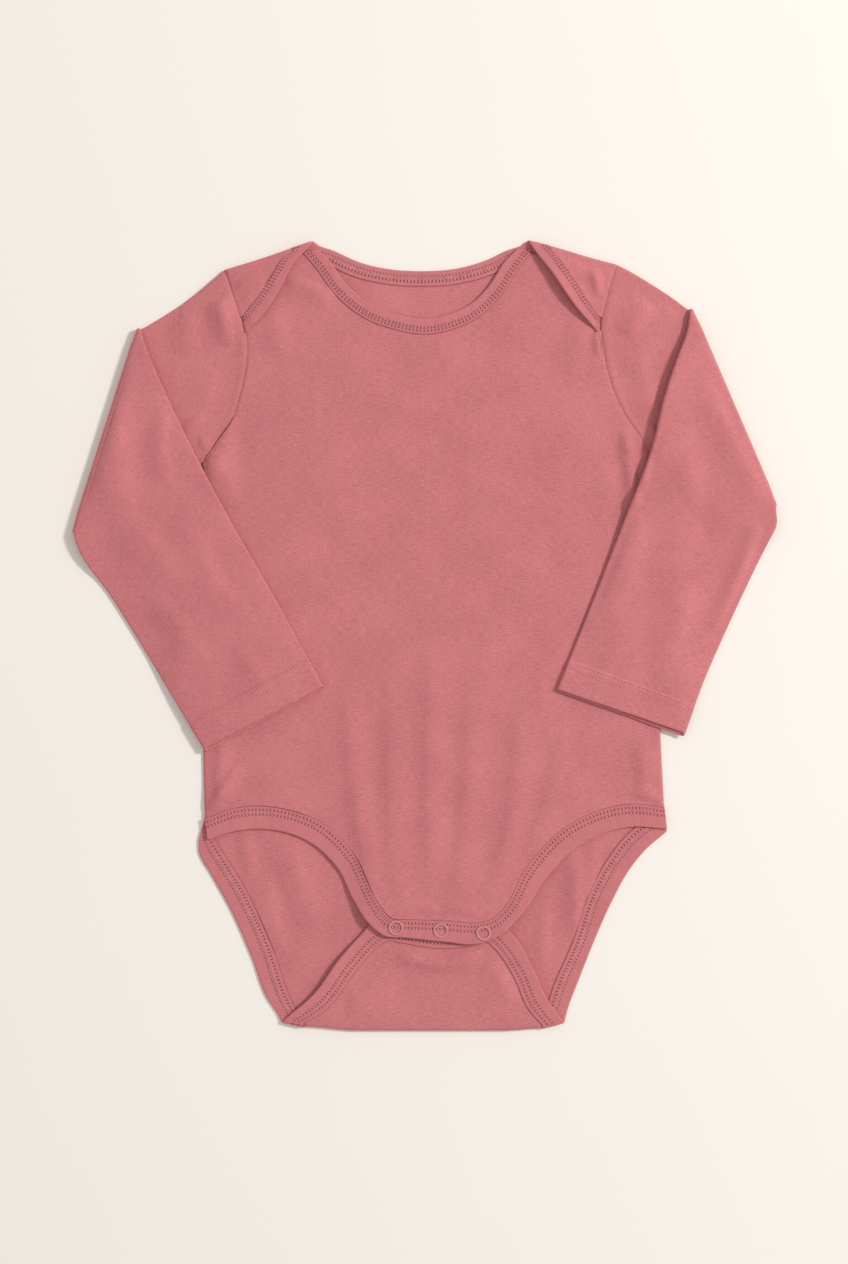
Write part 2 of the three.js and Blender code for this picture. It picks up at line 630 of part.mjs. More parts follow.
function backPanel() {
  const cloth = new Cloth();
  const leftNeck = shareOf(backFrame, 1, LEFT_SHOULDER[1].x);
  const rightNeck = shareOf(backFrame, 1, RIGHT_SHOULDER[1].x);
  const leftCrotch = shareOf(backFrame, 0, BACK_LEG_LEFT[BACK_LEG_LEFT.length - 1].seamX);
  const rightCrotch = shareOf(backFrame, 0, BACK_LEG_RIGHT[0].seamX);
  const columns = columnsThrough([
    { at: 0 },
    { at: leftNeck, steps: BACK_COLUMNS.leftFold },
    { at: leftCrotch, steps: BACK_COLUMNS.leftLeg },
    { at: rightCrotch, steps: BACK_COLUMNS.crotch },
    { at: rightNeck, steps: BACK_COLUMNS.rightLeg },
    { at: 1, steps: BACK_COLUMNS.rightFold },
  ]);
  const rows = [...BACK_SIDE_ROWS, ...ARMHOLE_ROWS].map((v) => columns.map((u) => {
    return { ...patch(backFrame, u, v), z: CLOTH_HALF, half: CLOTH_HALF };
  }));
  cloth.grid(rows);
  const top = rows[rows.length - 1];
  const leftFold = top.slice(0, BACK_COLUMNS.leftFold + 1);
  const rightFold = top.slice(top.length - BACK_COLUMNS.rightFold - 1);
  const crotchStart = BACK_COLUMNS.leftFold + BACK_COLUMNS.leftLeg;
  lapPanel(cloth, leftFold, LEFT_SHOULDER, leftArmholeLine, LEFT_LAP, -1);
  lapPanel(cloth, rightFold, RIGHT_SHOULDER, rightArmholeLine, RIGHT_LAP, 1);
  flapPanel(cloth, rows[0].slice(crotchStart, crotchStart + BACK_COLUMNS.crotch + 1));
  return cloth.solid();
}

function flapPanel(cloth, foldRow) {
  const out = { x: 0, y: -1 };
  const turns = foldRow.map((place) => halfTurn(place, flapUnder(place.y) + CLOTH_HALF, out, FOLD_STEPS));
  const rows = evenShares(FOLD_STEPS).map((_, k) => turns.map((turn) => turn[k]));
  const leftEdge = flapSeam.slice(0, FLAP_EDGE_POINTS.leftEnd);
  const rightEdge = flapSeam.slice(FLAP_EDGE_POINTS.rightStart);
  const frame = {
    left: (y) => readLine(leftEdge, 'y', 'x', y),
    right: (y) => readLine(rightEdge, 'y', 'x', y),
    leftBottom: FLAP_EDGE[0].seamY,
    leftTop: FLAP_EDGE[BAND_ROWS.left].seamY,
    rightBottom: FLAP_EDGE[FLAP_EDGE.length - 1].seamY,
    rightTop: FLAP_EDGE[BAND_ROWS.right].seamY,
    bottom: crotchFold,
    top: (x) => readLine(flapSeam, 'x', 'y', x),
  };
  const first = foldRow[0].x;
  const last = foldRow[foldRow.length - 1].x;
  for (const w of FLAP_ROWS) {
    rows.push(foldRow.map((place) => {
      const spot = patch(frame, (place.x - first) / (last - first), w);
      return { ...spot, z: flapUnder(spot.y) + CLOTH_HALF, half: CLOTH_HALF };
    }));
  }
  cloth.grid(rows.map((row) => [...row].reverse()));
}

// Front panel, its sides rolled down over the edge of the back
const frontNeckSeam = fineLine(FRONT_NECK, 'seamX', 'seamY');
const frontLegSeam = fineLine(FRONT_LEG, 'seamX', 'seamY');

function frontTop(x) {
  const left = FRONT_NECK[0];
  const right = FRONT_NECK[FRONT_NECK.length - 1];
  const [leftOut] = LEFT_SHOULDER;
  const [rightOut] = RIGHT_SHOULDER;
  if (x <= left.seamX) return mix(leftOut.y, left.seamY, (x - leftOut.x) / (left.seamX - leftOut.x));
  if (x >= right.seamX) return mix(rightOut.y, right.seamY, (x - rightOut.x) / (right.seamX - rightOut.x));
  return readLine(frontNeckSeam, 'x', 'y', x);
}

// Three columns in place of the outermost one: a quarter turn down below the armpit, flat beside the armhole
const EDGE_SHARES = [1, 0.5, 0];

function rolledEdge(edge, side, v) {
  const drop = edge.z - CLOTH_HALF;
  return EDGE_SHARES.map((share) => {
    if (v > ARMPIT_ROW - ROW_MARGIN) return { ...edge, x: edge.x - side * (1 - share) };
    const angle = share * Math.PI / 2;
    return {
      ...edge,
      x: edge.x + side * SIDE_ROLL * Math.sin(angle),
      z: edge.z - drop * (1 - Math.cos(angle)),
    };
  });
}

function frontPanel() {
  const frame = { ...bodyFrame, top: frontTop, bottom: (x) => readLine(frontLegSeam, 'x', 'y', x) };
  const columns = columnsThrough([
    { at: 0 },
    { at: shareOf(frame, 1, FRONT_NECK[0].seamX), steps: FRONT_COLUMNS.leftFold },
    { at: shareOf(frame, 0, FRONT_BAND_ENDS.left), steps: FRONT_COLUMNS.leftLeg },
    { at: shareOf(frame, 0, FRONT_BAND_ENDS.right), steps: FRONT_COLUMNS.crotch },
    { at: shareOf(frame, 1, FRONT_NECK[FRONT_NECK.length - 1].seamX), steps: FRONT_COLUMNS.rightLeg },
    { at: 1, steps: FRONT_COLUMNS.rightFold },
  ]);
  const cloth = new Cloth();
  cloth.grid([...SIDE_ROWS, ...ARMHOLE_ROWS].map((v) => {
    const row = columns.map((u) => {
      const spot = patch(frame, u, v);
      return { ...spot, z: frontUnder(spot.x, spot.y) + CLOTH_HALF, half: CLOTH_HALF };
    });
    const left = rolledEdge(row[0], -1, v);
    const right = rolledEdge(row[row.length - 1], 1, v).reverse();
    return [...left, ...row.slice(1, -1), ...right];
  }));
  return cloth.solid();
}

// Bindings: strips with rounded edges between a seam line and a free edge
const STRIP_COLUMNS = [
  { across: 0, thickness: 0.6 },
  { across: 0.07, thickness: 1 },
  { across: 0.5, thickness: 1 },
  { across: 0.93, thickness: 1 },
  { across: 1, thickness: 0.6 },
];

function stripSections(rows, count, under) {
  return evenShares(count).map((share) => {
    const row = along(rows, share);
    const length = Math.hypot(row.edgeX - row.seamX, row.edgeY - row.seamY);
    const start = STRIP_START / length;
    const seam = { x: mix(row.seamX, row.edgeX, start), y: mix(row.seamY, row.edgeY, start) };
    const edge = { x: row.edgeX, y: row.edgeY };
    return [seam, edge].map((place, k) => {
      return { ...place, z: under(place.x, place.y, share, k) + BINDING_HALF, half: BINDING_HALF };
    });
  });
}

// Sections of a half turn between the last section of one layer and the first one of the next
function turnSections([seam, edge], [nextSeam, nextEdge], out) {
  const seams = halfTurn(seam, nextSeam.z, out, FOLD_STEPS);
  const edges = halfTurn(edge, nextEdge.z, out, FOLD_STEPS);
  return seams.map((place, k) => [place, edges[k]]).slice(1, -1);
}

function strip(sections) {
  const cloth = new Cloth();
  cloth.grid(sections.map(([seam, edge]) => STRIP_COLUMNS.map((column) => ({
    x: mix(seam.x, edge.x, column.across),
    y: mix(seam.y, edge.y, column.across),
    z: mix(seam.z, edge.z, column.across),
    half: BINDING_HALF * column.thickness,
  }))));
  return cloth.solid();
}

// Height of a lap's binding, which stands up most in the middle of the lap's length and at its free edge
function lapHeight(lift) {
  return (x, y, share, k) => lapUnder(x, y) + lift * (k === 0 ? 0.5 : 1) * Math.sin(Math.PI * share);
}

function neckBindingBack() {
  const left = stripSections(LEFT_LAP, LAP_STEPS, lapHeight(LEFT_LAP_LIFT));
  const neck = stripSections(BACK_NECK, STRIP_STEPS.backNeck, () => 0);
  const right = stripSections(RIGHT_LAP, LAP_STEPS, lapHeight(RIGHT_LAP_LIFT));
  const leftOut = outward(LEFT_SHOULDER[0], LEFT_SHOULDER[1], { x: 0, y: 0 });
  const rightOut = outward(RIGHT_SHOULDER[0], RIGHT_SHOULDER[1], { x: 0, y: 0 });
  return strip([
    ...left,
    ...turnSections(left[left.length - 1], neck[0], leftOut),
    ...neck,
    ...turnSections(neck[neck.length - 1], right[0], rightOut),
    ...right,
  ]);
}

function legBindingBack() {
  const left = stripSections(BACK_LEG_LEFT, STRIP_STEPS.backLegLeft, () => 0);
  const flap = stripSections(FLAP_EDGE, STRIP_STEPS.flap, (x, y) => flapUnder(y));
  const right = stripSections(BACK_LEG_RIGHT, STRIP_STEPS.backLegRight, () => 0);
  const out = { x: 0, y: -1 };
  return strip([
    ...left,
    ...turnSections(left[left.length - 1], flap[0], out),
    ...flap,
    ...turnSections(flap[flap.length - 1], right[0], out),
    ...right,
  ]);
}

// Sleeves: flattened tubes from the armhole to the fold line and back on top to the cuff
const SLEEVE_SHARES = evenShares(ARMHOLE_STEPS);
const UPPER_ARM_SECTIONS = [0, 0.12, 0.35, 0.65, 1];
const FOREARM_SECTIONS = [0.03, 0.08, 0.15, 0.24, 0.35, 0.48, 0.62, 0.76];

function unit(x, y) {
  const length = Math.hypot(x, y);
  return { x: x / length, y: y / length };
}

function mixUnit(from, to, share) {
  return unit(mix(from.x, to.x, share), mix(from.y, to.y, share));
}

// One section round a flattened tube: first layer out, turn, second layer back, turn
function tubeRing(places, firstHeights, secondHeights, outStart, outEnd, half) {
  const first = places.map((place, i) => ({ ...place, z: firstHeights[i], half }));
  const second = places.map((place, i) => ({ ...place, z: secondHeights[i], half }));
  const last = places.length - 1;
  const endTurn = halfTurn(first[last], second[last].z, outEnd, TUBE_TURN_STEPS).slice(1, -1);
  const startTurn = halfTurn(second[0], first[0].z, outStart, TUBE_TURN_STEPS).slice(1, -1);
  return [...first, ...endTurn, ...second.reverse(), ...startTurn];
}

// Height on which the forearm rests: the body, the upper arm or the floor, with a soft fall between them
function sleeveRest(spec, x, y) {
  const line = spec.side < 0 ? leftSideLine : rightSideLine;
  const overBody = spec.side * (readLine(line, 'y', 'x', y) - x);
  const armpit = spec.armhole[spec.armhole.length - 1];
  const out = outward(armpit, spec.foldBottom, spec.foldTop);
  const overArm = UNDERARM_STAND - (x - armpit.x) * out.x - (y - armpit.y) * out.y;
  const onBody = (frontUnder(x, y) + CLOTH + GAP) * stepAt(DRAPE_STEP, overBody);
  const onArm = 2 * (CLOTH + GAP) * stepAt(DRAPE_STEP, overArm);
  return Math.max(onBody, onArm);
}

function upperArmRings(spec, foldAway) {
  const shoulderY = spec.armhole[0].y;
  const legY = spec.side < 0 ? LEFT_SIDE[0].y : RIGHT_SIDE[0].y;
  const armpitY = mix(legY, shoulderY, ARMPIT_ROW);
  const armpit = spec.armhole[spec.armhole.length - 1];
  const armholeLine = fineLine(spec.armhole);
  const shoulderOut = outward(spec.shoulder[0], spec.shoulder[1], { x: 0, y: 0 });
  const overOut = outward(spec.armhole[0], spec.foldTop, spec.foldBottom);
  const underOut = outward(armpit, spec.foldBottom, spec.foldTop);
  const back = { x: -foldAway.x, y: -foldAway.y };
  return UPPER_ARM_SECTIONS.map((s) => {
    const hollow = spec.hollow * 4 * s * (1 - s);
    const places = SLEEVE_SHARES.map((e) => {
      const y = e < 1 ? mix(shoulderY, armpitY, e) : armpitY + ARMPIT_RISE;
      const x = readLine(armholeLine, 'y', 'x', y) + spec.side * SEAM_SHIFT;
      const inward = hollow * (1 - e) ** 3;
      return {
        x: mix(x, mix(spec.foldTop.x, spec.foldBottom.x, e), s) - overOut.x * inward,
        y: mix(y, mix(spec.foldTop.y, spec.foldBottom.y, e), s) - overOut.y * inward,
      };
    });
    const low = SLEEVE_SHARES.map(() => CLOTH_HALF);
    const high = SLEEVE_SHARES.map((e) => {
      const head = SIDE_ROLL * (1 - stepAt(HEAD_DOWN_STEP, e)) * (1 - stepAt(HEAD_OUT_STEP, s));
      return 3 * CLOTH_HALF + GAP + head;
    });
    const nearShoulder = mixUnit(shoulderOut, overOut, stepAt(SHOULDER_TURN_STEP, s));
    const nearArmpit = mixUnit(spec.armpitOut, underOut, stepAt(ARMPIT_TURN_STEP, s));
    const start = s < 0.5 ? nearShoulder : mixUnit(overOut, foldAway, stepAt(FOLD_TURN_STEP, s));
    const end = s < 0.5 ? nearArmpit : mixUnit(underOut, back, stepAt(FOLD_TURN_STEP, s));
    return tubeRing(places, low, high, start, end, CLOTH_HALF);
  });
}

function forearmRing(spec, s, foldUnder, foldAway) {
  const outerLength = reachOf(spec.outer)[spec.outer.length - 1];
  const innerLength = reachOf(spec.inner)[spec.inner.length - 1];
  const hem = rise(-HEM_CHANGE, HEM_CHANGE, s - (1 - HEM_LENGTH / outerLength));
  const half = mix(CLOTH_HALF, HEM_HALF, hem);
  const innerShare = (value) => {
    const toCuff = (1 - value) * outerLength;
    return 1 - (toCuff + (innerLength - outerLength) * (1 - value) ** 2) / innerLength;
  };
  const inner = along(spec.inner, innerShare(s));
  const outer = along(spec.outer, s);
  const step = 0.01;
  const ahead = Math.min(s, 1 - step);
  const innerNext = along(spec.inner, innerShare(ahead + step));
  const innerOut = outward(along(spec.inner, innerShare(ahead)), innerNext, outer);
  const outerOut = outward(along(spec.outer, ahead), along(spec.outer, ahead + step), inner);
  const back = { x: -foldAway.x, y: -foldAway.y };
  const start = mixUnit(foldAway, innerOut, stepAt(FOREARM_TURN_STEP, s));
  const end = mixUnit(back, outerOut, stepAt(FOREARM_TURN_STEP, s));
  const lift = spec.edgeLift * Math.exp(-(((s - LIFT_PLACE) / LIFT_REACH) ** 2)) * stepAt(LIFT_STEP, s);
  const inset = 2 * half + GAP / 2;
  const from = { x: inner.x - start.x * inset, y: inner.y - start.y * inset };
  const to = { x: outer.x - end.x * inset, y: outer.y - end.y * inset };
  const normal = unit(from.y - to.y, to.x - from.x);
  const down = normal.y > 0 ? { x: -normal.x, y: -normal.y } : normal;
  const places = SLEEVE_SHARES.map((e) => ({ x: mix(from.x, to.x, e), y: mix(from.y, to.y, e) }));
  const low = places.map((place, i) => {
    const e = SLEEVE_SHARES[i];
    const rest = sleeveRest(spec, place.x, place.y);
    const under = mix(Math.max(foldUnder, rest), rest, rise(0, FOREARM_SETTLE, s * outerLength));
    return under + half + lift * (1 - e) ** 3;
  });
  const high = low.map((z, i) => {
    const e = SLEEVE_SHARES[i];
    const puff = SLEEVE_PUFF * 4 * e * (1 - e) * stepAt(PUFF_STEP, s);
    const leftOver = mix(1, PUFF_LEFT_AT_CUFF, stepAt(CUFF_STEP, s));
    return z + 2 * half + GAP + puff * leftOver + UPPER_LAYER_LIFT * lift * (1 - e) ** 4;
  });
  const ring = tubeRing(places, high, low, start, end, half);
  if (s < 1) return ring;
  // At the cuff the lower layer ends further out than the upper one
  const lowest = Math.min(...low);
  return ring.map((place, i) => {
    if (i < places.length) return place;
    const lower = Math.min(1, Math.max(0, (high[0] - place.z) / (high[0] - lowest)));
    return { ...place, x: place.x + down.x * CUFF_PEEK * lower, y: place.y + down.y * CUFF_PEEK * lower };
  });
}

function sleeve(spec) {
  const out = outward(spec.foldTop, spec.foldBottom, { x: 0, y: spec.foldTop.y });
  const foldAway = unit(spec.foldTop.x - spec.foldBottom.x, spec.foldTop.y - spec.foldBottom.y);
  const foldUnder = 2 * (CLOTH + GAP) + FOLD_LOFT;
  const axisHeight = (CLOTH_HALF + foldUnder + 3 * CLOTH_HALF + GAP) / 2;
  const rings = upperArmRings(spec, foldAway);
  const foldRing = rings[rings.length - 1];
  for (let k = 1; k <= FOLD_STEPS; k += 1) {
    const angle = Math.PI * k / FOLD_STEPS;
    rings.push(foldRing.map((place) => {
      const radius = axisHeight - place.z;
      return {
        ...place,
        x: place.x + out.x * radius * Math.sin(angle),
        y: place.y + out.y * radius * Math.sin(angle),
        z: axisHeight - radius * Math.cos(angle),
      };
    }));
  }
  const outerLength = reachOf(spec.outer)[spec.outer.length - 1];
  const hemStart = 1 - HEM_LENGTH / outerLength;
  for (const s of [...FOREARM_SECTIONS, hemStart - HEM_CHANGE, hemStart + HEM_CHANGE, 1]) {
    rings.push(forearmRing(spec, s, foldUnder, foldAway));
  }
  const cloth = new Cloth();
  cloth.grid(rings, true);
  return cloth.solid();
}

// Snap pieces: outlines turned round an upright axis
function turned(outline, segments, centre, height) {
  const closed = outline[0].r > 0;
  const positions = [];
  const index = [];
  const ids = outline.map((point) => {
    const count = point.r > 0 ? segments : 1;
    return Array.from({ length: count }, (_, k) => {
      const angle = 2 * Math.PI * k / segments;
      const x = centre.x + point.r * Math.cos(angle);
      const y = centre.y + point.r * Math.sin(angle);
      return positions.push(x, y, height + point.z) / 3 - 1;
    });
  });
  const spans = closed ? outline.length : outline.length - 1;
  for (let j = 0; j < spans; j += 1) {
    const lower = ids[j];
    const upper = ids[(j + 1) % outline.length];
    for (let k = 0; k < segments; k += 1) {
      const next = (k + 1) % segments;
      const a = lower[k % lower.length];
      const b = lower[next % lower.length];
      const c = upper[next % upper.length];
      const d = upper[k % upper.length];
      if (a !== b) index.push(a, b, c);
      if (c !== d) index.push(a, c, d);
    }
  }
  const geometry = new THREE.BufferGeometry();
  geometry.setAttribute('position', new THREE.Float32BufferAttribute(positions, 3));
  geometry.setIndex(index);
  geometry.computeVertexNormals();
  return geometry;
}

const CAP_OUTLINE = [
  { r: SNAP_INNER, z: 0 },
  { r: SNAP_OUTER, z: 0 },
  { r: SNAP_OUTER, z: CAP_SIDE },
  { r: SNAP_OUTER - CAP_BEVEL, z: SNAP_HEIGHT - CAP_DROP },
  { r: (SNAP_OUTER + SNAP_INNER) / 2, z: SNAP_HEIGHT },
  { r: SNAP_INNER + CAP_BEVEL, z: SNAP_HEIGHT - CAP_DROP },
  { r: SNAP_INNER, z: CAP_SIDE },
];
const RING_OUTLINE = [
  { r: SNAP_INNER, z: 0 },
  { r: SNAP_OUTER, z: 0 },
  { r: SNAP_OUTER, z: SNAP_HIDDEN_HEIGHT },
  { r: SNAP_INNER, z: SNAP_HIDDEN_HEIGHT },
];
const SOCKET_OUTLINE = [
  { r: SOCKET_HOLE, z: 0 },
  { r: SNAP_OUTER, z: 0 },
  { r: SNAP_OUTER, z: SNAP_HIDDEN_HEIGHT },
  { r: SOCKET_HOLE, z: SNAP_HIDDEN_HEIGHT },
];
const STUD_OUTLINE = [
  { r: 0, z: 0 },
  { r: SNAP_OUTER, z: 0 },
  { r: SNAP_OUTER, z: SNAP_HIDDEN_HEIGHT },
  { r: STUD_RADIUS, z: SNAP_HIDDEN_HEIGHT },
  { r: STUD_RADIUS, z: 2 * SNAP_HIDDEN_HEIGHT },
  { r: 0, z: 2 * SNAP_HIDDEN_HEIGHT },
];

const part = new THREE.Group();
part.name = 'baby_onesie';

const CLOTH_FINISH = { color: 0xcb777a, roughness: 0.95, metalness: 0 };
const SNAP_FINISH = { color: 0xd9a5a3, roughness: 0.35, metalness: 0.7 };

function addPiece(name, geometry, finish) {
  const material = new THREE.MeshStandardMaterial(finish);
  material.name = name;
  const mesh = new THREE.Mesh(geometry, material);
  mesh.name = name;
  part.add(mesh);
}

addPiece('back', backPanel(), CLOTH_FINISH);
addPiece('front', frontPanel(), CLOTH_FINISH);
addPiece('sleeve_left', sleeve(LEFT_SLEEVE), CLOTH_FINISH);
addPiece('sleeve_right', sleeve(RIGHT_SLEEVE), CLOTH_FINISH);
addPiece('neck_binding_back', neckBindingBack(), CLOTH_FINISH);
const frontNeckSections = stripSections(FRONT_NECK, STRIP_STEPS.frontNeck, frontUnder);
addPiece('neck_binding_front', strip(frontNeckSections), CLOTH_FINISH);
addPiece('leg_binding_back', legBindingBack(), CLOTH_FINISH);
const frontLegSections = stripSections(FRONT_LEG, STRIP_STEPS.frontLeg, frontUnder);
addPiece('leg_binding_front', strip(frontLegSections), CLOTH_FINISH);

// Each snap: cap on the front band, socket under it, stud on the flap's band, ring between flap and back
const flapBandTop = FLAP_BAND_UNDER + BINDING;
const frontBandUnder = FRONT_UNDER + CROTCH_RISE;
SNAPS.forEach((centre, i) => {
  const cap = turned(CAP_OUTLINE, CAP_SEGMENTS, centre, frontBandUnder + BINDING + SNAP_GAP);
  const socketFloor = frontBandUnder - SNAP_HIDDEN_HEIGHT - SNAP_GAP;
  const socket = turned(SOCKET_OUTLINE, HIDDEN_SEGMENTS, centre, socketFloor);
  const stud = turned(STUD_OUTLINE, HIDDEN_SEGMENTS, centre, flapBandTop + SNAP_GAP);
  const ring = turned(RING_OUTLINE, HIDDEN_SEGMENTS, centre, CLOTH + SNAP_GAP);
  addPiece(`snap_cap_${i + 1}`, cap, SNAP_FINISH);
  addPiece(`snap_socket_${i + 1}`, socket, SNAP_FINISH);
  addPiece(`snap_stud_${i + 1}`, stud, SNAP_FINISH);
  addPiece(`snap_ring_${i + 1}`, ring, SNAP_FINISH);
});

export default part;
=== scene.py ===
import bpy
import numpy as np
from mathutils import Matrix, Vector


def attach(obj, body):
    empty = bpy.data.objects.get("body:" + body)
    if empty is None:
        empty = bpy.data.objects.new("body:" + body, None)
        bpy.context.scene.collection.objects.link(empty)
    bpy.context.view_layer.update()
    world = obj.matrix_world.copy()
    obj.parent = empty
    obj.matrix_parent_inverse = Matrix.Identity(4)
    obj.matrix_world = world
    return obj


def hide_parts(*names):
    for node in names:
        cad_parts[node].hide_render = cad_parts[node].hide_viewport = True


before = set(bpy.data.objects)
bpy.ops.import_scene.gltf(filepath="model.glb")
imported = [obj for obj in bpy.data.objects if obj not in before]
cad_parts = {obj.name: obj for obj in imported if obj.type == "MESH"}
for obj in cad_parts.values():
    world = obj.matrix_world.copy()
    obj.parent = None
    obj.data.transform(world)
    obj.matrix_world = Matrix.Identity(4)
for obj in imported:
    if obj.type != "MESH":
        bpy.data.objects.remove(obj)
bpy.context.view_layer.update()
print("frame loaded")

# Sizes and heights of the cloth in millimetres, z = 0 is the floor
cloth = {
    "half": 0.5,            # half the jersey's thickness
    "bindingHalf": 0.8,
    "gap": 0.3,
    "seamOverlap": 0.15,    # how far each panel runs past an armhole seam
    "frontUnder": 1.3,      # underside of the front
    "neckRise": 0.6,
    "cornerRise": 0.7,
    "crotchRise": 3.7,
    "bodyLoft": 1.0,
    "flapFoldUnder": 2.6,
    "flapBandUnder": 1.9,
    "sideRoll": 1.3,
    "seamPinch": 0.9,       # reach of a seam's groove
    "seamDepth": 0.2,
    "seamThinning": 0.45,   # share of the thickness that is lost in the groove
    "creaseHeight": 2.8,    # factor on every crease's own height
    "waveHeight": 1.2,      # of the slow waves between creases
    "weldSteps": 500,       # places in the same step, of this many to a millimetre, are welded
    "metres": 0.001,
}
layerStep = 2 * cloth["half"] + cloth["gap"]      # from one jersey layer to the next

# Seam line and free edge of every binding, rows of seamX, seamY, edgeX, edgeY
leftLapRows = [
    (-104.1, 182.2, -102.1, 173.1), (-99.2, 188.1, -94.2, 181.0), (-94.2, 194.7, -87.0, 190.3),
    (-86.9, 205.8, -79.5, 202.9), (-81.8, 214.0, -74.4, 213.5), (-75.0, 219.2, -62.5, 222.6)]
backNeckRows = [
    (-75.0, 219.2, -62.5, 222.6), (-57.9, 213.2, -53.9, 221.0), (-39.9, 205.2, -36.8, 213.5),
    (-19.7, 200.8, -18.5, 209.5), (-0.3, 199.8, -0.3, 208.6), (19.4, 201.3, 18.0, 210.0),
    (39.6, 207.0, 36.2, 215.2), (52.5, 213.4, 47.5, 220.6), (70.5, 220.6, 58.0, 223.2)]
rightLapRows = [
    (70.5, 220.6, 58.0, 223.2), (77.6, 213.2, 70.4, 209.9), (84.5, 203.5, 77.4, 199.6),
    (92.5, 191.8, 86.0, 187.7), (99.9, 182.0, 98.7, 173.6)]
frontNeckRows = [
    (-69.3, 218.7, -61.3, 221.0), (-61.8, 209.8, -54.7, 215.0), (-51.6, 195.8, -45.3, 202.0),
    (-35.1, 182.1, -30.7, 189.8), (-14.5, 174.5, -12.1, 183.0), (-1.4, 172.4, -1.1, 181.3),
    (15.1, 174.9, 12.7, 183.4), (29.6, 181.4, 24.6, 188.7), (44.2, 195.2, 37.3, 200.8),
    (52.6, 208.3, 45.3, 213.4), (60.4, 218.6, 53.0, 221.4)]
frontLegRows = [
    (-125.4, -104.0, -124.0, -116.0), (-108.2, -97.8, -106.9, -110.9), (-86.4, -97.1, -87.2, -110.3),
    (-60.3, -105.2, -67.0, -116.6), (-39.2, -125.1, -50.4, -131.1), (-27.6, -149.5, -39.3, -152.2),
    (-22.5, -156.8, -32.5, -162.4), (-18.0, -160.5, -22.8, -170.3), (-11.1, -160.8, -12.3, -171.2),
    (8.8, -161.5, 8.5, -173.3), (33.3, -162.3, 34.5, -173.8), (38.2, -160.5, 42.5, -170.3),
    (45.3, -153.9, 52.4, -161.3), (57.9, -131.6, 69.3, -137.9), (76.9, -110.9, 84.6, -122.0),
    (103.3, -97.8, 106.0, -111.0), (117.0, -95.5, 118.3, -108.6), (136.8, -97.5, 138.2, -109.7)]
backLegLeftRows = [
    (-125.7, -104.6, -128.9, -117.1), (-120.0, -115.4, -128.4, -124.0), (-110.3, -130.8, -121.4, -136.5),
    (-99.5, -149.1, -111.0, -155.2), (-86.9, -177.0, -99.0, -182.1), (-76.7, -206.1, -88.9, -208.0),
    (-69.3, -220.6, -80.5, -218.0)]
flapRows = [
    (-69.3, -220.6, -80.5, -218.0), (-56.1, -212.7, -65.5, -206.0), (-38.2, -189.5, -47.6, -182.4),
    (-27.6, -177.9, -37.3, -171.0), (-20.8, -173.6, -27.2, -161.4), (-14.0, -174.6, -13.1, -160.9),
    (9.0, -177.9, 9.5, -163.9), (26.5, -176.6, 27.0, -163.3), (35.1, -174.2, 41.5, -161.6),
    (40.4, -178.6, 50.0, -169.4), (51.6, -195.8, 62.7, -190.7), (58.4, -211.5, 70.0, -206.6),
    (67.0, -221.6, 78.6, -218.4)]
backLegRightRows = [
    (67.0, -221.6, 78.6, -218.4), (73.2, -200.4, 85.8, -201.5), (84.1, -175.3, 95.9, -176.0),
    (94.7, -144.6, 107.4, -150.2), (103.5, -128.5, 115.4, -135.4), (115.8, -112.6, 125.1, -122.8),
    (136.5, -98.2, 138.2, -111.3)]

# Body outline, rows of x, y
leftSideRows = [(-125.4, -104.0), (-126.3, -68.1), (-126.3, 20.8), (-126.3, 98.5)]
rightSideRows = [(136.8, -97.5), (134.8, -59.0), (132.5, 20.8), (130.5, 102.7)]
leftArmholeRows = [
    (-113.5, 207.5), (-108.6, 192.7), (-102.1, 173.0), (-101.4, 154.8),
    (-104.8, 137.9), (-109.7, 122.8), (-118.6, 109.8), (-126.3, 98.5)]
rightArmholeRows = [
    (109.0, 210.5), (105.2, 198.6), (100.6, 173.0), (102.3, 160.3),
    (106.7, 142.8), (114.0, 126.8), (122.7, 114.2), (130.5, 102.7)]
leftShoulder = np.array([(-113.5, 207.5), (-75.0, 219.2)])
rightShoulder = np.array([(109.0, 210.5), (70.5, 220.6)])


def mix(start, end, share):  # straight blend
    return start + (end - start) * share


def rise(low, high, value):  # 0 below low, 1 above high, 3t² − 2t³ between them
    t = np.clip((value - low) / (high - low), 0, 1)
    return t * t * (3 - 2 * t)


def bell(value, width):  # exp(−(value / width)²)
    return np.exp(-(value / width) ** 2)


def curveThrough(rows, shares):
    # Cubic from row to row by length; the slope at a row weighs the spans on its two sides by length
    rows = np.asarray(rows, float)
    spans = np.linalg.norm(np.diff(rows, axis=0), axis=1)[:, None]
    reach = np.concatenate([[0], np.cumsum(spans)])
    steps = np.diff(rows, axis=0) / spans
    middle = (steps[:-1] * spans[1:] + steps[1:] * spans[:-1]) / (spans[1:] + spans[:-1])
    slopes = np.vstack([steps[:1], middle, steps[-1:]])
    target = np.clip(np.asarray(shares, float), 0, 1) * reach[-1]
    i = np.clip(np.searchsorted(reach, target, side="right") - 1, 0, len(spans) - 1)
    t = ((target - reach[i]) / spans[i, 0])[:, None]
    a, b = rows[i], rows[i + 1]
    start, end = slopes[i] * spans[i], slopes[i + 1] * spans[i]
    return a + t * (start + t * (3 * (b - a) - 2 * start - end + t * (2 * (a - b) + start + end)))


def fineLine(rows, columns=(0, 1)):  # 241 points of the curve through the rows
    return curveThrough(rows, np.linspace(0, 1, 241))[:, list(columns)]


def readLine(line, value, given=1, wanted=0):  # a line's x at a y, or its y at an x
    line = line if line[-1, given] > line[0, given] else line[::-1]
    return np.interp(value, line[:, given], line[:, wanted])


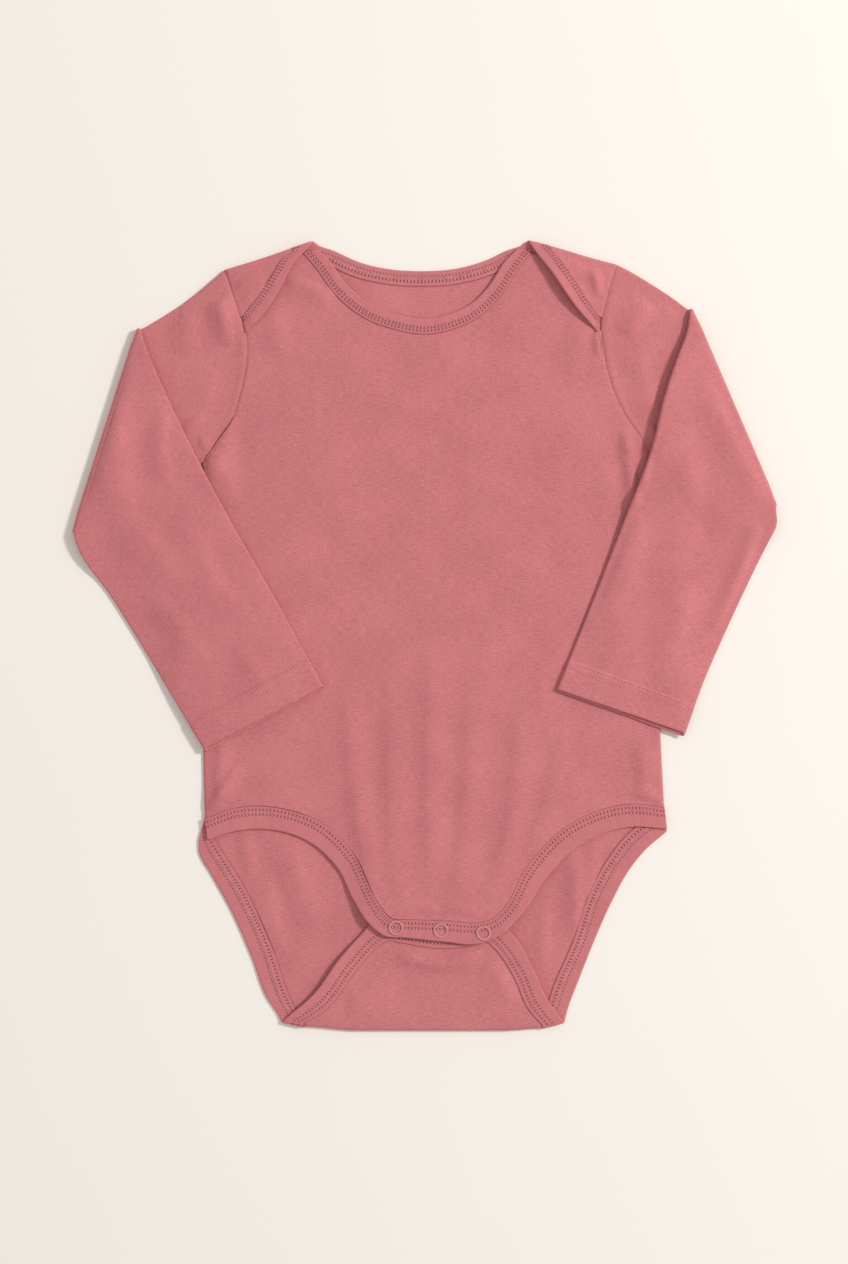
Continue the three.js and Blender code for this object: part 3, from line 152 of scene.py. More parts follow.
def outward(start, end, inside):  # unit vector across a line, away from a point
    along = np.subtract(end, start)
    normal = np.array([-along[1], along[0]]) / np.hypot(*along)
    return -normal if np.dot(np.subtract(inside, start), normal) > 0 else normal


leftSide, rightSide = fineLine(leftSideRows), fineLine(rightSideRows)
leftArmhole, rightArmhole = fineLine(leftArmholeRows), fineLine(rightArmholeRows)
frontNeckSeam, frontLegSeam = fineLine(frontNeckRows), fineLine(frontLegRows)
backNeckSeam = fineLine(backNeckRows)
flapSeam = mix(fineLine(flapRows), fineLine(flapRows, (2, 3)), 0.2)   # its cloth reaches under its strip
backLegLeftSeam, backLegRightSeam = fineLine(backLegLeftRows), fineLine(backLegRightRows)


# Creases, each a bent ridge: startX, startY, middleX, middleY, endX, endY, width, height
frontCreases = [
    (-78, 203, -66, 199, -52, 192, 3.6, 0.8),      # from the left end of the neck
    (-88, 186, -84, 176, -84, 160, 5.0, 0.5),
    (99, 174, 99.5, 169, 99, 160, 2.2, 0.9),       # below the right lap
    (93, 178, 88, 165, 86, 148, 5.0, 0.5),
    (-126, 102.5, -120, 102, -113, 98.5, 1.8, 0.7),  # left armpit
    (-123, 91, -119, 95, -114, 97.5, 1.8, 0.7),
    (-111, 127, -114, 104, -110, 74, 5.5, 0.9),
    (114.5, 119, 117.5, 98, 120.5, 72, 2.6, 1.2),  # right armpit
    (125, 106, 125.5, 95, 124, 82, 1.7, 0.9),
    (104, 104, 104, 84, 100, 62, 5.0, 0.5),
    (-123, -98, -115, -88, -106, -72, 2.6, 1.0),   # left leg corner
    (-116, -94, -117, -78, -114, -58, 3.4, 0.8),
    (124, -93, 125, -78, 121, -56, 4.5, 0.7),      # right leg corner
    (132, -93, 126, -90, 118, -91, 1.6, 0.5),
    (-26, -146, -38, -100, -44, -30, 5.0, 0.55),   # pulled up from the snaps
    (-14, -150, -19, -90, -18, -10, 5.0, 0.5),
    (4, -150, 3, -80, 5, 0, 5.5, 0.6),
    (18, -152, 24, -96, 26, -34, 5.0, 0.5),
    (36, -150, 50, -104, 54, -40, 5.5, 0.6),
    (58, -124, 72, -92, 78, -50, 6.0, 0.5),
    (-17, -158.5, -3, -153.5, 9, -155.5, 1.6, 0.6),    # over the closing band
    (10, -156.0, 20, -154.0, 33, -158.5, 1.6, 0.5),
]
backCreases = [
    (-103, -112, -100, -124, -100, -138, 2.6, 0.5),    # inside the left leg
    (-78, -118, -70, -142, -58, -166, 6.5, 0.9),
    (-92, -130, -88, -156, -80, -182, 5.0, 0.6),
    (83, -120, 87, -142, 84, -168, 3.6, 0.9),          # inside the right leg
    (98, -116, 95, -134, 92, -146, 3.2, 0.6),
    (70, -150, 68, -172, 70, -192, 3.0, 0.4),
    (-13, 197, 4, 196, 24, 197.5, 1.2, 0.25),          # inside the neck
    (-44, 196, -30, 190, -10, 186, 5.0, 0.3),
]
flapCreases = [
    (-15, -179.5, 9, -186, 33, -179.5, 2.6, 0.9),      # under the closing band
    (-44, -208, -32, -203, -20, -190, 6.0, 0.6),
    (34, -186, 44, -196, 48, -210, 4.0, 0.6),
    (-10, -200, 14, -204, 38, -200, 7.0, 0.35),
]
lapCreases = [
    (-108, 200, -100, 203, -92, 207, 2.6, 0.6),
    (-104, 190, -98, 196, -90, 200, 2.2, 0.4),
    (96.5, 210, 98, 203, 99.5, 194, 1.9, 0.8),         # in the right lap
    (84, 212, 93, 207, 101, 206, 3.0, 0.5),
]


creaseShape = {"secondFlank": 1.7, "endPower": 0.6, "reach": 5}      # reach in widths


def creaseRelief(x, y, table):
    # Each ridge follows a curve bent by its middle point: height · bell(distance / width) ·
    # (4s(1−s))^endPower, and its second flank is wider than its first
    relief = np.zeros_like(x)
    share = np.linspace(0, 1, 25)[:, None]
    for x0, y0, x1, y1, x2, y2, width, height in table:
        ends = np.array([[x0, y0], [2 * x1 - (x0 + x2) / 2, 2 * y1 - (y0 + y2) / 2], [x2, y2]])
        line = (1 - share) ** 2 * ends[0] + 2 * share * (1 - share) * ends[1] + share ** 2 * ends[2]
        reach = creaseShape["reach"] * width
        near = ((x > line[:, 0].min() - reach) & (x < line[:, 0].max() + reach)
                & (y > line[:, 1].min() - reach) & (y < line[:, 1].max() + reach))
        if not near.any():
            continue
        points = np.stack([x[near], y[near]], -1)[:, None, :]
        step = np.diff(line, axis=0)
        t = np.clip(((points - line[:-1]) * step).sum(-1) / (step ** 2).sum(-1), 0, 1)
        away = points - line[:-1] - t[..., None] * step
        distance = np.hypot(away[..., 0], away[..., 1])
        closest = distance.argmin(1)[:, None]
        distance = np.take_along_axis(distance, closest, 1)[:, 0]
        side = np.take_along_axis(step[:, 0] * away[..., 1] - step[:, 1] * away[..., 0], closest, 1)[:, 0]
        s = (closest[:, 0] + np.take_along_axis(t, closest, 1)[:, 0]) / len(step)
        flank = np.where(side > 0, width, creaseShape["secondFlank"] * width)
        alongRidge = np.clip(4 * s * (1 - s), 0, 1) ** creaseShape["endPower"]
        relief[near] += height * bell(distance, flank) * alongRidge
    return relief * cloth["creaseHeight"]


def softWaves(x, y, seed):
    # Sum of five slow sines in seeded directions, 34 to 90 mm long, so the cloth is never quite flat
    draw = np.random.default_rng(seed)
    waves = np.zeros_like(x)
    for length in (90, 71, 55, 43, 34):
        angle, phase = draw.uniform(0, np.pi), draw.uniform(0, 2 * np.pi)
        waves += np.sin((x * np.cos(angle) + y * np.sin(angle)) * 2 * np.pi / length + phase) * length / 90
    return waves / 5


# Heights of the layers
legCorners = [(-124, -110), (137, -104)]
heightZones = {             # where each change of a layer's height starts and ends, mm
    "neck": (186, 203), "neckSides": (72, 100), "corner": (14, 30), "crotch": (-158, -116),
    "left": (-126, -70), "right": (78, 132), "low": (-100, -40), "high": (110, 170),
    "wavesLeft": (-124, -104), "wavesRight": (112, 131), "wavesHigh": (150, 172),
    "lapSides": (74, 94), "flapFold": (-222, -200), "flapBand": (-192, -178),
}


def zone(name, value):  # rise over one of the zones
    return rise(*heightZones[name], value)


def frontUnder(x, y):
    # Base height plus a rise at the neck ends, at both leg corners and at the crotch, and a low loft between
    neck = cloth["neckRise"] * zone("neck", y) * (1 - zone("neckSides", np.abs(x)))
    corners = [1 - zone("corner", np.hypot(x - cornerX, y - cornerY)) for cornerX, cornerY in legCorners]
    crotch = cloth["crotchRise"] * (1 - zone("crotch", y))
    across = zone("left", x) * (1 - zone("right", x))
    loft = cloth["bodyLoft"] * across * zone("low", y) * (1 - zone("high", y))
    return cloth["frontUnder"] + neck + cloth["cornerRise"] * np.maximum(*corners) + crotch + loft


def frontRelief(x, y):  # creases and slow waves, gone at the sides and near the neck
    inside = zone("wavesLeft", x) * (1 - zone("wavesRight", x)) * (1 - zone("wavesHigh", y))
    return creaseRelief(x, y, frontCreases) + cloth["waveHeight"] * inside * (0.5 + softWaves(x, y, 4))


def lapUnder(x, y):  # one layer over the front and its creases, a little more near the neck
    layer = layerStep + cloth["neckRise"] * (1 - zone("lapSides", np.abs(x)))
    return frontUnder(x, y) + frontRelief(x, y) + layer


# The flap's left free edge stands up between two places
flapLift = {"start": np.array([-80.5, -218.0]), "end": np.array([-37.3, -171.0]), "height": 2.8, "reach": 9.0}


def flapUnder(x, y):
    # The front's height, more at the fold and at the band, and the edge's lift: a sine along it and a bell
    # across it
    fold = (cloth["flapFoldUnder"] - cloth["frontUnder"]) * (1 - zone("flapFold", y))
    band = (cloth["flapBandUnder"] - cloth["frontUnder"]) * zone("flapBand", y)
    length = np.hypot(*(flapLift["end"] - flapLift["start"]))
    forward = (flapLift["end"] - flapLift["start"]) / length
    offX, offY = x - flapLift["start"][0], y - flapLift["start"][1]
    share = np.clip((offX * forward[0] + offY * forward[1]) / length, 0, 1)
    inward = offX * forward[1] - offY * forward[0]
    lift = flapLift["height"] * np.sin(np.pi * share) * bell(np.maximum(inward, 0), flapLift["reach"])
    return cloth["frontUnder"] + fold + band + lift


foldSteps = 10              # round each fold


def halfTurn(places, toHeights, out, steps):
    # Half circle of every place from its height to another one, standing out along a direction
    angle = np.linspace(0, np.pi, steps + 1)[:, None]
    middle = (places[:, 2] + toHeights) / 2
    radius = (toHeights - places[:, 2]) / 2
    x = places[:, 0] + out[0] * np.abs(radius) * np.sin(angle)
    y = places[:, 1] + out[1] * np.abs(radius) * np.sin(angle)
    return np.stack([x, y, middle - radius * np.cos(angle)], -1)


# Meshes
def sheetGrid(places, half, grain, closed=False):
    # A grid of middle places with half a thickness and a grain place each, rows up and columns to the right
    half = np.broadcast_to(half, places.shape[:2])
    return {"places": places, "half": half, "grain": grain, "closed": closed}


def facesOf(grids):
    # Four-sided faces of all grids, with the places that meet welded
    faces, start = [], 0
    for grid in grids:
        rows, columns = grid["places"].shape[:2]
        index = np.arange(rows * columns).reshape(rows, columns) + start
        start += rows * columns
        if grid["closed"]:
            index = np.concatenate([index, index[:, :1]], axis=1)
        corners = [index[:-1, :-1], index[:-1, 1:], index[1:, 1:], index[1:, :-1]]
        faces.append(np.stack(corners, -1).reshape(-1, 4))
    places = np.concatenate([grid["places"].reshape(-1, 3) for grid in grids])
    half = np.concatenate([grid["half"].reshape(-1) for grid in grids])
    grain = np.concatenate([grid["grain"].reshape(-1, grid["grain"].shape[-1]) for grid in grids])
    keys = np.round(places * cloth["weldSteps"]).astype(np.int64)
    first, inverse = np.unique(keys, axis=0, return_index=True, return_inverse=True)[1:]
    faces = inverse.reshape(-1)[np.concatenate(faces)]
    return places[first], half[first], grain[first], faces


def addMesh(pieceName, places, faces, grain, material):
    # Places in millimetres and four-sided faces become a smooth mesh object with its grain map
    mesh = bpy.data.meshes.new(pieceName)
    mesh.vertices.add(len(places))
    mesh.vertices.foreach_set("co", (places * cloth["metres"]).astype(np.float32).ravel())
    mesh.loops.add(faces.size)
    mesh.loops.foreach_set("vertex_index", faces.astype(np.int32).ravel())
    mesh.polygons.add(len(faces))
    mesh.polygons.foreach_set("loop_start", np.arange(0, faces.size, 4, dtype=np.int32))
    mesh.polygons.foreach_set("use_smooth", np.ones(len(faces), bool))
    for name, columns in (("grain", grain[:, :2]), ("sewing", grain[:, 2:])):
        if columns.size:
            corners = columns[faces.ravel()].astype(np.float32)
            mesh.uv_layers.new(name=name).data.foreach_set("uv", corners.ravel())
    mesh.update(calc_edges=True)
    mesh.materials.append(material)
    piece = bpy.data.objects.new(pieceName, mesh)
    bpy.context.scene.collection.objects.link(piece)
    return piece


def shell(name, grids, material):
    # Both sides lie half a thickness from the middle along its normals, with a rim along every open edge
    places, half, grain, faces = facesOf(grids)
    across = np.cross(places[faces[:, 2]] - places[faces[:, 0]], places[faces[:, 3]] - places[faces[:, 1]])
    normals = np.zeros_like(places)
    for corner in range(4):
        np.add.at(normals, faces[:, corner], across)
    normals /= np.linalg.norm(normals, axis=1, keepdims=True)
    count = len(places)
    starts, ends = faces.ravel(), np.roll(faces, -1, axis=1).ravel()
    border = ~np.isin(starts * count + ends, ends * count + starts)
    starts, ends = starts[border], ends[border]
    rim = np.stack([starts, count + starts, count + ends, ends], -1)
    both = np.concatenate([faces, count + faces[:, ::-1], rim])
    moved = np.concatenate([places + normals * half[:, None], places - normals * half[:, None]])
    return addMesh(name, moved, both, np.concatenate([grain, grain]), material)


# Body panels are patches between left and right lines read by height, and bottom and top lines read by x
armpitRow = 0.65            # share of the height at which the armhole starts
rowSlack = 0.001
sideRows = np.concatenate([[0, 0.002, 0.005, 0.01], np.linspace(0.016, 0.632, 100)])
armholeRows = np.concatenate([np.linspace(armpitRow, 0.986, 54), [0.991, 0.995, 0.998, 1]])


def columnsThrough(stops, steps):  # even shares between one stop and the next
    parts = [np.linspace(stops[k], stops[k + 1], steps[k] + 1)[1:] for k in range(len(steps))]
    return np.concatenate([[stops[0]], *parts])


def bodyEdge(side, y, v):
    # The side line's x at a height, above the armpit the armhole line's, moved in by an inset
    atArmhole = v > armpitRow - rowSlack
    below, above = (leftSide, leftArmhole) if side < 0 else (rightSide, rightArmhole)
    inset = np.where(atArmhole, -cloth["seamOverlap"], cloth["sideRoll"] + cloth["half"])
    return np.where(atArmhole, readLine(above, y), readLine(below, y)) - side * inset


def endX(shape, side, end, v):  # x of a side line at its bottom or top end
    level = np.zeros_like(v) if end == "Bottom" else np.ones_like(v)
    return shape[side](shape[side + end] + 0 * v, level)


def patch(shape, u, v):  # x blends from left to right by u, y from bottom to top by v
    u, v = np.meshgrid(u, v)
    leftX = shape["left"](mix(shape["leftBottom"], shape["leftTop"], v), v)
    rightX = shape["right"](mix(shape["rightBottom"], shape["rightTop"], v), v)
    bottomX, topX = [
        mix(endX(shape, "left", end, v), endX(shape, "right", end, v), u) for end in ("Bottom", "Top")]
    return mix(leftX, rightX, u), mix(shape["bottom"](bottomX), shape["top"](topX), v)


def shareAt(shape, x, end):  # column share at a place on the bottom or top line
    left, right = [endX(shape, side, end, np.array(0.0)) for side in ("left", "right")]
    return float((x - left) / (right - left))


bodyShape = {
    "left": lambda y, v: bodyEdge(-1, y, v), "right": lambda y, v: bodyEdge(1, y, v),
    "leftBottom": leftSideRows[0][1], "leftTop": leftShoulder[0, 1],
    "rightBottom": rightSideRows[0][1], "rightTop": rightShoulder[0, 1],
}


def shoulderTop(x, neckSeam, left, right):
    # The neck's seam line, and outside its two ends straight lines to the shoulder points
    y = readLine(neckSeam, x, 0, 1)
    sides = (leftShoulder[0], left, x <= left[0]), (rightShoulder[0], right, x >= right[0])
    for outer, inner, outside in sides:
        y = np.where(outside, mix(outer[1], inner[1], (x - outer[0]) / (inner[0] - outer[0])), y)
    return y


def pinch(distance):  # 1 on a seam, gone beyond its groove
    return bell(distance, cloth["seamPinch"])


# Front
frontBand = (-20.5, 35.8)   # x of the closing band's two ends
frontEdge = {
    "turns": np.array([1, 0.8, 0.6, 0.4, 0.2, 0]),              # shares of a quarter turn down at the sides
    "insets": np.array([0, 0.2, 0.45, 0.75, 1.1, 1.45]),        # mm from the armhole seams
}


def frontPanel(material):
    # A patch at the front's height; its side edges roll down a quarter turn, its armhole edges thin to a seam
    shape = {
        **bodyShape, "bottom": lambda x: readLine(frontLegSeam, x, 0, 1),
        "top": lambda x: shoulderTop(x, frontNeckSeam, frontNeckRows[0], frontNeckRows[-1]),
    }
    neckEnds = [shareAt(shape, frontNeckRows[k][0], "Top") for k in (0, -1)]
    bandEnds = [shareAt(shape, x, "Bottom") for x in frontBand]
    rows = np.concatenate([sideRows, armholeRows])
    columns = columnsThrough([0, neckEnds[0], *bandEnds, neckEnds[1], 1], [24, 26, 30, 22, 26])
    x, y = patch(shape, columns, rows)
    places = np.stack([x, y, frontUnder(x, y) + frontRelief(x, y) + cloth["half"]], -1)
    below = (rows < armpitRow - rowSlack)[:, None]
    angle, insets = frontEdge["turns"] * np.pi / 2, frontEdge["insets"]
    edges = []
    for side, edge in ((-1, places[:, 0]), (1, places[:, -1])):
        drop = (edge[:, 2:] - cloth["half"]) * (1 - np.cos(angle))
        rolled = edge[:, :1] + side * cloth["sideRoll"] * np.sin(angle)
        edgeX = np.where(below, rolled, edge[:, :1] - side * insets)
        edgeZ = edge[:, 2:] - np.where(below, drop, cloth["seamDepth"] * pinch(insets))
        edges.append(np.stack([edgeX, edge[:, 1:2] + 0 * edgeX, edgeZ], -1))
    places = np.concatenate([edges[0], places[:, 1:-1], edges[1][:, ::-1]], axis=1)
    half = np.full(places.shape[:2], cloth["half"])
    thin = np.where(below, 1, 1 - cloth["seamThinning"] * pinch(insets))
    half[:, :len(insets)] *= thin
    half[:, -len(insets):] *= thin[:, ::-1]
    return shell("front_panel", [sheetGrid(places, half, places[..., :2])], material)


# Back, with two shoulder laps and the crotch flap folded up over it
lapLift = {"left": 0.8, "right": 3.4}
crotchY = -222.9


def crotchFold(x):  # y of the fold line, higher towards both its ends
    return crotchY + 2.3 * (1 - rise(-69.3, -38, x)) + 1.3 * rise(45, 67, x)


def backBottom(x):  # the leg seam lines with the crotch fold between them
    left, right = backLegLeftRows[-1][0], backLegRightRows[0][0]
    middle = np.where(x <= left, readLine(backLegLeftSeam, x, 0, 1), crotchFold(x))
    return np.where(x >= right, readLine(backLegRightSeam, x, 0, 1), middle)


def mirrored(points, start, end):  # reflection across the line through two points
    along = np.subtract(end, start) / np.hypot(*np.subtract(end, start))
    offset = points - start
    return start + 2 * (offset @ along)[..., None] * along - offset


def lapGrids(foldRow, shoulder, armhole, rows, side):
    # From the shoulder fold a half turn, then rows between the armhole and the lap's seam line, raised by
    # a sine towards the free edge
    out = outward(shoulder[0], shoulder[1], (0, 0))
    tip = curveThrough(rows, [0 if side < 0 else 1])[0]
    lift = lapLift["left" if side < 0 else "right"]
    turns = halfTurn(foldRow, lapUnder(foldRow[:, 0], foldRow[:, 1]) + cloth["half"], out, foldSteps)
    reach = (foldRow[:, 0] - foldRow[0, 0]) / (foldRow[-1, 0] - foldRow[0, 0])
    reach = reach if side < 0 else 1 - reach
    w = np.linspace(0, 1, 31)[1:]
    seam = curveThrough(rows, 1 - w if side < 0 else w)
    outerY = mix(shoulder[0, 1], tip[1], w)
    outerX = readLine(armhole, outerY) + side * cloth["seamOverlap"]
    x = mix(outerX[:, None], seam[:, :1], reach)
    y = mix(outerY[:, None], seam[:, 1:2], reach)
    uneven = 1 + 0.15 * np.sin(3 * np.pi * w)
    raised = lift * 0.5 * np.sin(np.pi * w)[:, None] * reach ** 2 * uneven[:, None]
    groove = pinch(reach * np.hypot(seam[:, 0] - outerX, seam[:, 1] - outerY)[:, None])
    z = lapUnder(x, y) + cloth["half"] + raised + creaseRelief(x, y, lapCreases) * rise(0, 0.25, w)[:, None]
    places = np.concatenate([turns, np.stack([x, y, z - cloth["seamDepth"] * groove], -1)])
    half = np.full(places.shape[:2], cloth["half"])
    half[len(turns):] *= 1 - cloth["seamThinning"] * groove
    return [sheetGrid(places, half, mirrored(places[..., :2], shoulder[0], shoulder[1]))]


def flapGrids(foldRow):
    # From the crotch fold a half turn, then rows up to the closing band
    turns = halfTurn(foldRow, flapUnder(foldRow[:, 0], foldRow[:, 1]) + cloth["half"], (0, -1), foldSteps)
    leftEdge, rightEdge = flapSeam[:110], flapSeam[150:]    # up to the closing band on each side
    shape = {
        "left": lambda y, v: readLine(leftEdge, y), "right": lambda y, v: readLine(rightEdge, y),
        "leftBottom": flapRows[0][1], "leftTop": flapRows[4][1],
        "rightBottom": flapRows[-1][1], "rightTop": flapRows[8][1],
        "bottom": crotchFold, "top": lambda x: readLine(flapSeam, x, 0, 1),
    }
    share = (foldRow[:, 0] - foldRow[0, 0]) / (foldRow[-1, 0] - foldRow[0, 0])
    x, y = patch(shape, share, np.concatenate([np.linspace(0, 0.97, 27)[1:], [0.985, 1]]))
    z = flapUnder(x, y) + cloth["half"] + creaseRelief(x, y, flapCreases) * rise(-221, -212, y)
    places = np.concatenate([turns, np.stack([x, y, z], -1)])
    grain = places[..., :2] * (1, -1) + (0, 2 * crotchY)
    return [sheetGrid(places[:, ::-1], cloth["half"], grain[:, ::-1])]


def backPanel(material):
    # A flat patch with its creases, and the laps and the flap that fold over from its top and bottom rows
    shape = {
        **bodyShape, "top": lambda x: shoulderTop(x, backNeckSeam, leftShoulder[1], rightShoulder[1]),
        "bottom": backBottom, "left": lambda y, v: bodyEdge(-1, y, v - 2 * rowSlack),
        "right": lambda y, v: bodyEdge(1, y, v - 2 * rowSlack),
    }
    shoulders = [shareAt(shape, line[1, 0], "Top") for line in (leftShoulder, rightShoulder)]
    legs = [shareAt(shape, row[0], "Bottom") for row in (backLegLeftRows[-1], backLegRightRows[0])]
    steps = [18, 6, 50, 12, 20]
    columns = columnsThrough([0, shoulders[0], *legs, shoulders[1], 1], steps)
    x, y = patch(shape, columns, np.concatenate([sideRows[::2], armholeRows[::2], [1]]))
    inside = rise(-104, -96, -np.abs(x))
    away = rise(-221, -212, y) * (1 - rise(210, 216, y))      # from the crotch fold and the shoulder folds
    z = cloth["half"] + creaseRelief(x, y, backCreases) * np.maximum(inside, away) * away
    places = np.stack([x, y, z], -1)
    grids = [sheetGrid(places, cloth["half"], places[..., :2])]
    left, right = steps[0] + 1, steps[-1] + 1
    grids += lapGrids(places[-1, :left], leftShoulder, leftArmhole, leftLapRows, -1)
    grids += lapGrids(places[-1, -right:], rightShoulder, rightArmhole, rightLapRows, 1)
    crotch = steps[0] + steps[1]
    grids += flapGrids(places[0, crotch:crotch + steps[2] + 1])
    return shell("back_panel", grids, material)


# Bindings are strips between a seam line and a free edge
binding = {
    "start": -0.3,          # the strip begins this far before the seam line, mm
    "frontLegRows": (2.2, 4.9),     # the two stitch rows, mm from the seam line
    "backLegRows": (2.8, 5.9),
    "frontNeckRows": (1.9, 3.7),
    "backNeckRows": (2.7, 5.5),
    "lapRows": (0.9, 2.8),
    "trim": 1.6,            # distance from a strip's end to its first stitch
    "softWeight": 0.45,     # of the free edge's smoothing round a fold
    "softReach": 16,        # in steps along the strip
    "softPasses": 60,
    "loopOut": 1.9,         # how far the free edge's loop stands out over each shoulder fold
    "loopReach": 9,         # in steps along the strip
    "cornerOut": 1.8,       # the same over each end of the crotch fold
    "cornerReach": 12,
    "tipTaper": 7.0,        # reach of the flattened end of a lap's strip
    "tipSink": 0.4,
    "tipThinning": 0.5,
    "groove": 0.28,         # how much thinner the strip is in a stitch row
    "rowWidth": 0.5,
    "pucker": 0.10,
    "pitch": 2.0,           # length of a stitch
}


def stripSections(rows, count, under):
    # Seam and edge places at even shares, at half a thickness over what they lie on
    shares = np.linspace(0, 1, count + 1)
    row = curveThrough(rows, shares)
    length = np.hypot(row[:, 2] - row[:, 0], row[:, 3] - row[:, 1])
    seam = mix(row[:, :2], row[:, 2:], (binding["start"] / length)[:, None])
    sections = []
    for k, place in enumerate((seam, row[:, 2:])):
        z = under(place[:, 0], place[:, 1], shares, k) + cloth["bindingHalf"]
        sections.append(np.column_stack([place, z]))
    return np.stack(sections, 1)


def stripColumns():  # shares across a strip, closer at its two edges
    edge = np.array([0, 0.012, 0.03, 0.06, 0.1])
    return np.concatenate([edge, np.linspace(0.14, 0.86, 25), 1 - edge[::-1]])


def stripFrame(sections):
    # Middle line, width, running length and unit normals of a strip
    middle = sections.mean(1)
    width = np.linalg.norm(sections[:, 1] - sections[:, 0], axis=1)
    length = np.concatenate([[0], np.cumsum(np.linalg.norm(np.diff(middle, axis=0), axis=1))])
    tangent = np.gradient(middle, axis=0)
    normal = np.cross(tangent, sections[:, 1] - sections[:, 0])
    return width, length, normal / np.linalg.norm(normal, axis=1, keepdims=True)


def stripHalf(distance, width, rowGap):
    # Half thickness: round at both edges, thinner in the two stitch rows
    inside = distance - binding["start"]
    nearest = np.clip(np.minimum(inside, width - inside) / cloth["bindingHalf"], 0, 1)
    rounded = np.sqrt(np.clip(1 - (1 - nearest) ** 2, 0.02, 1))
    return cloth["bindingHalf"] * rounded * (1 - binding["groove"] * bell(rowGap, binding["rowWidth"]))


def puckerOf(length, seed):  # irregular small ripple along a sewn strip
    draw = np.random.default_rng(seed)
    waves = [np.sin(2 * np.pi * length / period + draw.uniform(0, 6.3)) for period in (4.7, 7.3, 12.1, 19.0)]
    return binding["pucker"] * sum(waves) / 2


def strip(name, sections, rows, seed, material, tips=False):
    # Grid across and along the strip; rows holds each section's two stitch row distances
    width, length, normal = stripFrame(sections)
    across = stripColumns()
    places = mix(sections[:, None, 0], sections[:, None, 1], across[None, :, None])
    distance = across[None, :] * width[:, None] + binding["start"]
    rowGap = np.abs(distance[..., None] - rows[:, None, :]).min(-1)
    ripple = puckerOf(length, seed)[:, None] * np.sin(np.pi * across) * rise(0, 6, length)[:, None]
    places = places + normal[:, None] * ripple[..., None]
    half = stripHalf(distance, width[:, None], rowGap)
    if tips:
        fromEnd = np.minimum(length, length[-1] - length)
        flat = 1 - rise(0, binding["tipTaper"], fromEnd)
        places[..., 2] -= (binding["tipSink"] * flat)[:, None]
        half = half * (1 - binding["tipThinning"] * flat)[:, None]
    grain = np.stack([np.broadcast_to(length[:, None], distance.shape), distance], -1)
    sewing = np.stack([grain[..., 0], rowGap], -1)
    return shell(name, [sheetGrid(places, half, np.concatenate([grain, sewing], -1))], material)


# Sewing thread: short dashes on the outside of a strip, a zigzag between the rows on its inside
thread = {
    "radius": 0.31,
    "loopRadius": 0.24,
    "dash": 0.78,           # share of the pitch that a stitch covers
    "sink": 0.18,
    "arch": 0.14,
}


def evenPlaces(line, step):
    # Indices along a line, as fractions, at the middle of every stitch
    reach = np.concatenate([[0], np.cumsum(np.linalg.norm(np.diff(line, axis=0), axis=1))])
    count = int((reach[-1] - 2 * binding["trim"]) / step)
    return np.interp(binding["trim"] + (np.arange(count) + 0.5) * step, reach, np.arange(len(line)))


def readRows(values, at):  # rows of an array read at fractional indices
    low = np.clip(at.astype(int), 0, len(values) - 2)
    return mix(values[low], values[low + 1], (at - low)[:, None])


def directionsAt(line, at):  # unit vectors along a line at fractional indices
    along = readRows(np.gradient(line, axis=0), at)
    return along / np.linalg.norm(along, axis=1, keepdims=True)


def dashGrid(centres, along, up, length, radius):
    # Capsules: rings of six places round each stitch, thin at both ends and arched along it
    t = np.array([-0.5, -0.38, 0, 0.38, 0.5])[None, :, None, None]
    angle = (np.arange(6) * np.pi / 3)[None, None, :, None]
    side = np.cross(up, along)
    girth = radius * np.array([0.25, 0.8, 1, 0.8, 0.25])[None, :, None, None]
    middle = centres[:, None, None] + along[:, None, None] * np.reshape(length, (-1, 1, 1, 1)) * t
    middle = middle + up[:, None, None] * thread["arch"] * (1 - 6 * t * t)
    ring = side[:, None, None] * np.cos(angle) + up[:, None, None] * np.sin(angle)
    return middle + ring * girth


def tubeFaces(count, rings, sides):
    # Faces of many tubes at once, open or capped by their thin end rings
    index = np.arange(count * rings * sides).reshape(count, rings, sides)
    around = np.roll(index, -1, axis=2)
    quads = np.stack([index[:, :-1], around[:, :-1], around[:, 1:], index[:, 1:]], -1).reshape(-1, 4)
    first, last = index[:, 0], index[:, -1]
    caps = [first[:, [3, 2, 1, 0]], first[:, [5, 4, 3, 0]], last[:, [0, 1, 2, 3]], last[:, [0, 3, 4, 5]]]
    return np.concatenate([quads, *caps])


def dashes(centres, along, up, length, radius):  # places and faces of many stitches
    rings = dashGrid(centres, along, up, length, radius)
    return rings.reshape(-1, 3), tubeFaces(len(centres), 5, 6)


def zigzag(sections, normal, width, rows, pitch):
    # Looper thread: one thin dash from row to row and back at every half pitch
    seam, edge = sections[:, 0], sections[:, 1]
    at = evenPlaces(sections.mean(1), pitch / 2)
    direction = readRows((edge - seam) / width[:, None], at)
    origin, up, pair = readRows(seam, at), readRows(normal, at), readRows(rows, at)
    swing = np.where(np.arange(len(at)) % 2, 1.0, -1.0)[:, None]
    forward = np.gradient(origin, axis=0)
    forward /= np.linalg.norm(forward, axis=1, keepdims=True)
    along = direction * (pair[:, 1:] - pair[:, :1]) + forward * swing * pitch * 0.45
    length = np.linalg.norm(along, axis=1)
    centre = origin + direction * (pair.mean(1, keepdims=True) - binding["start"])
    return centre + up * cloth["bindingHalf"], along / length[:, None], up, length


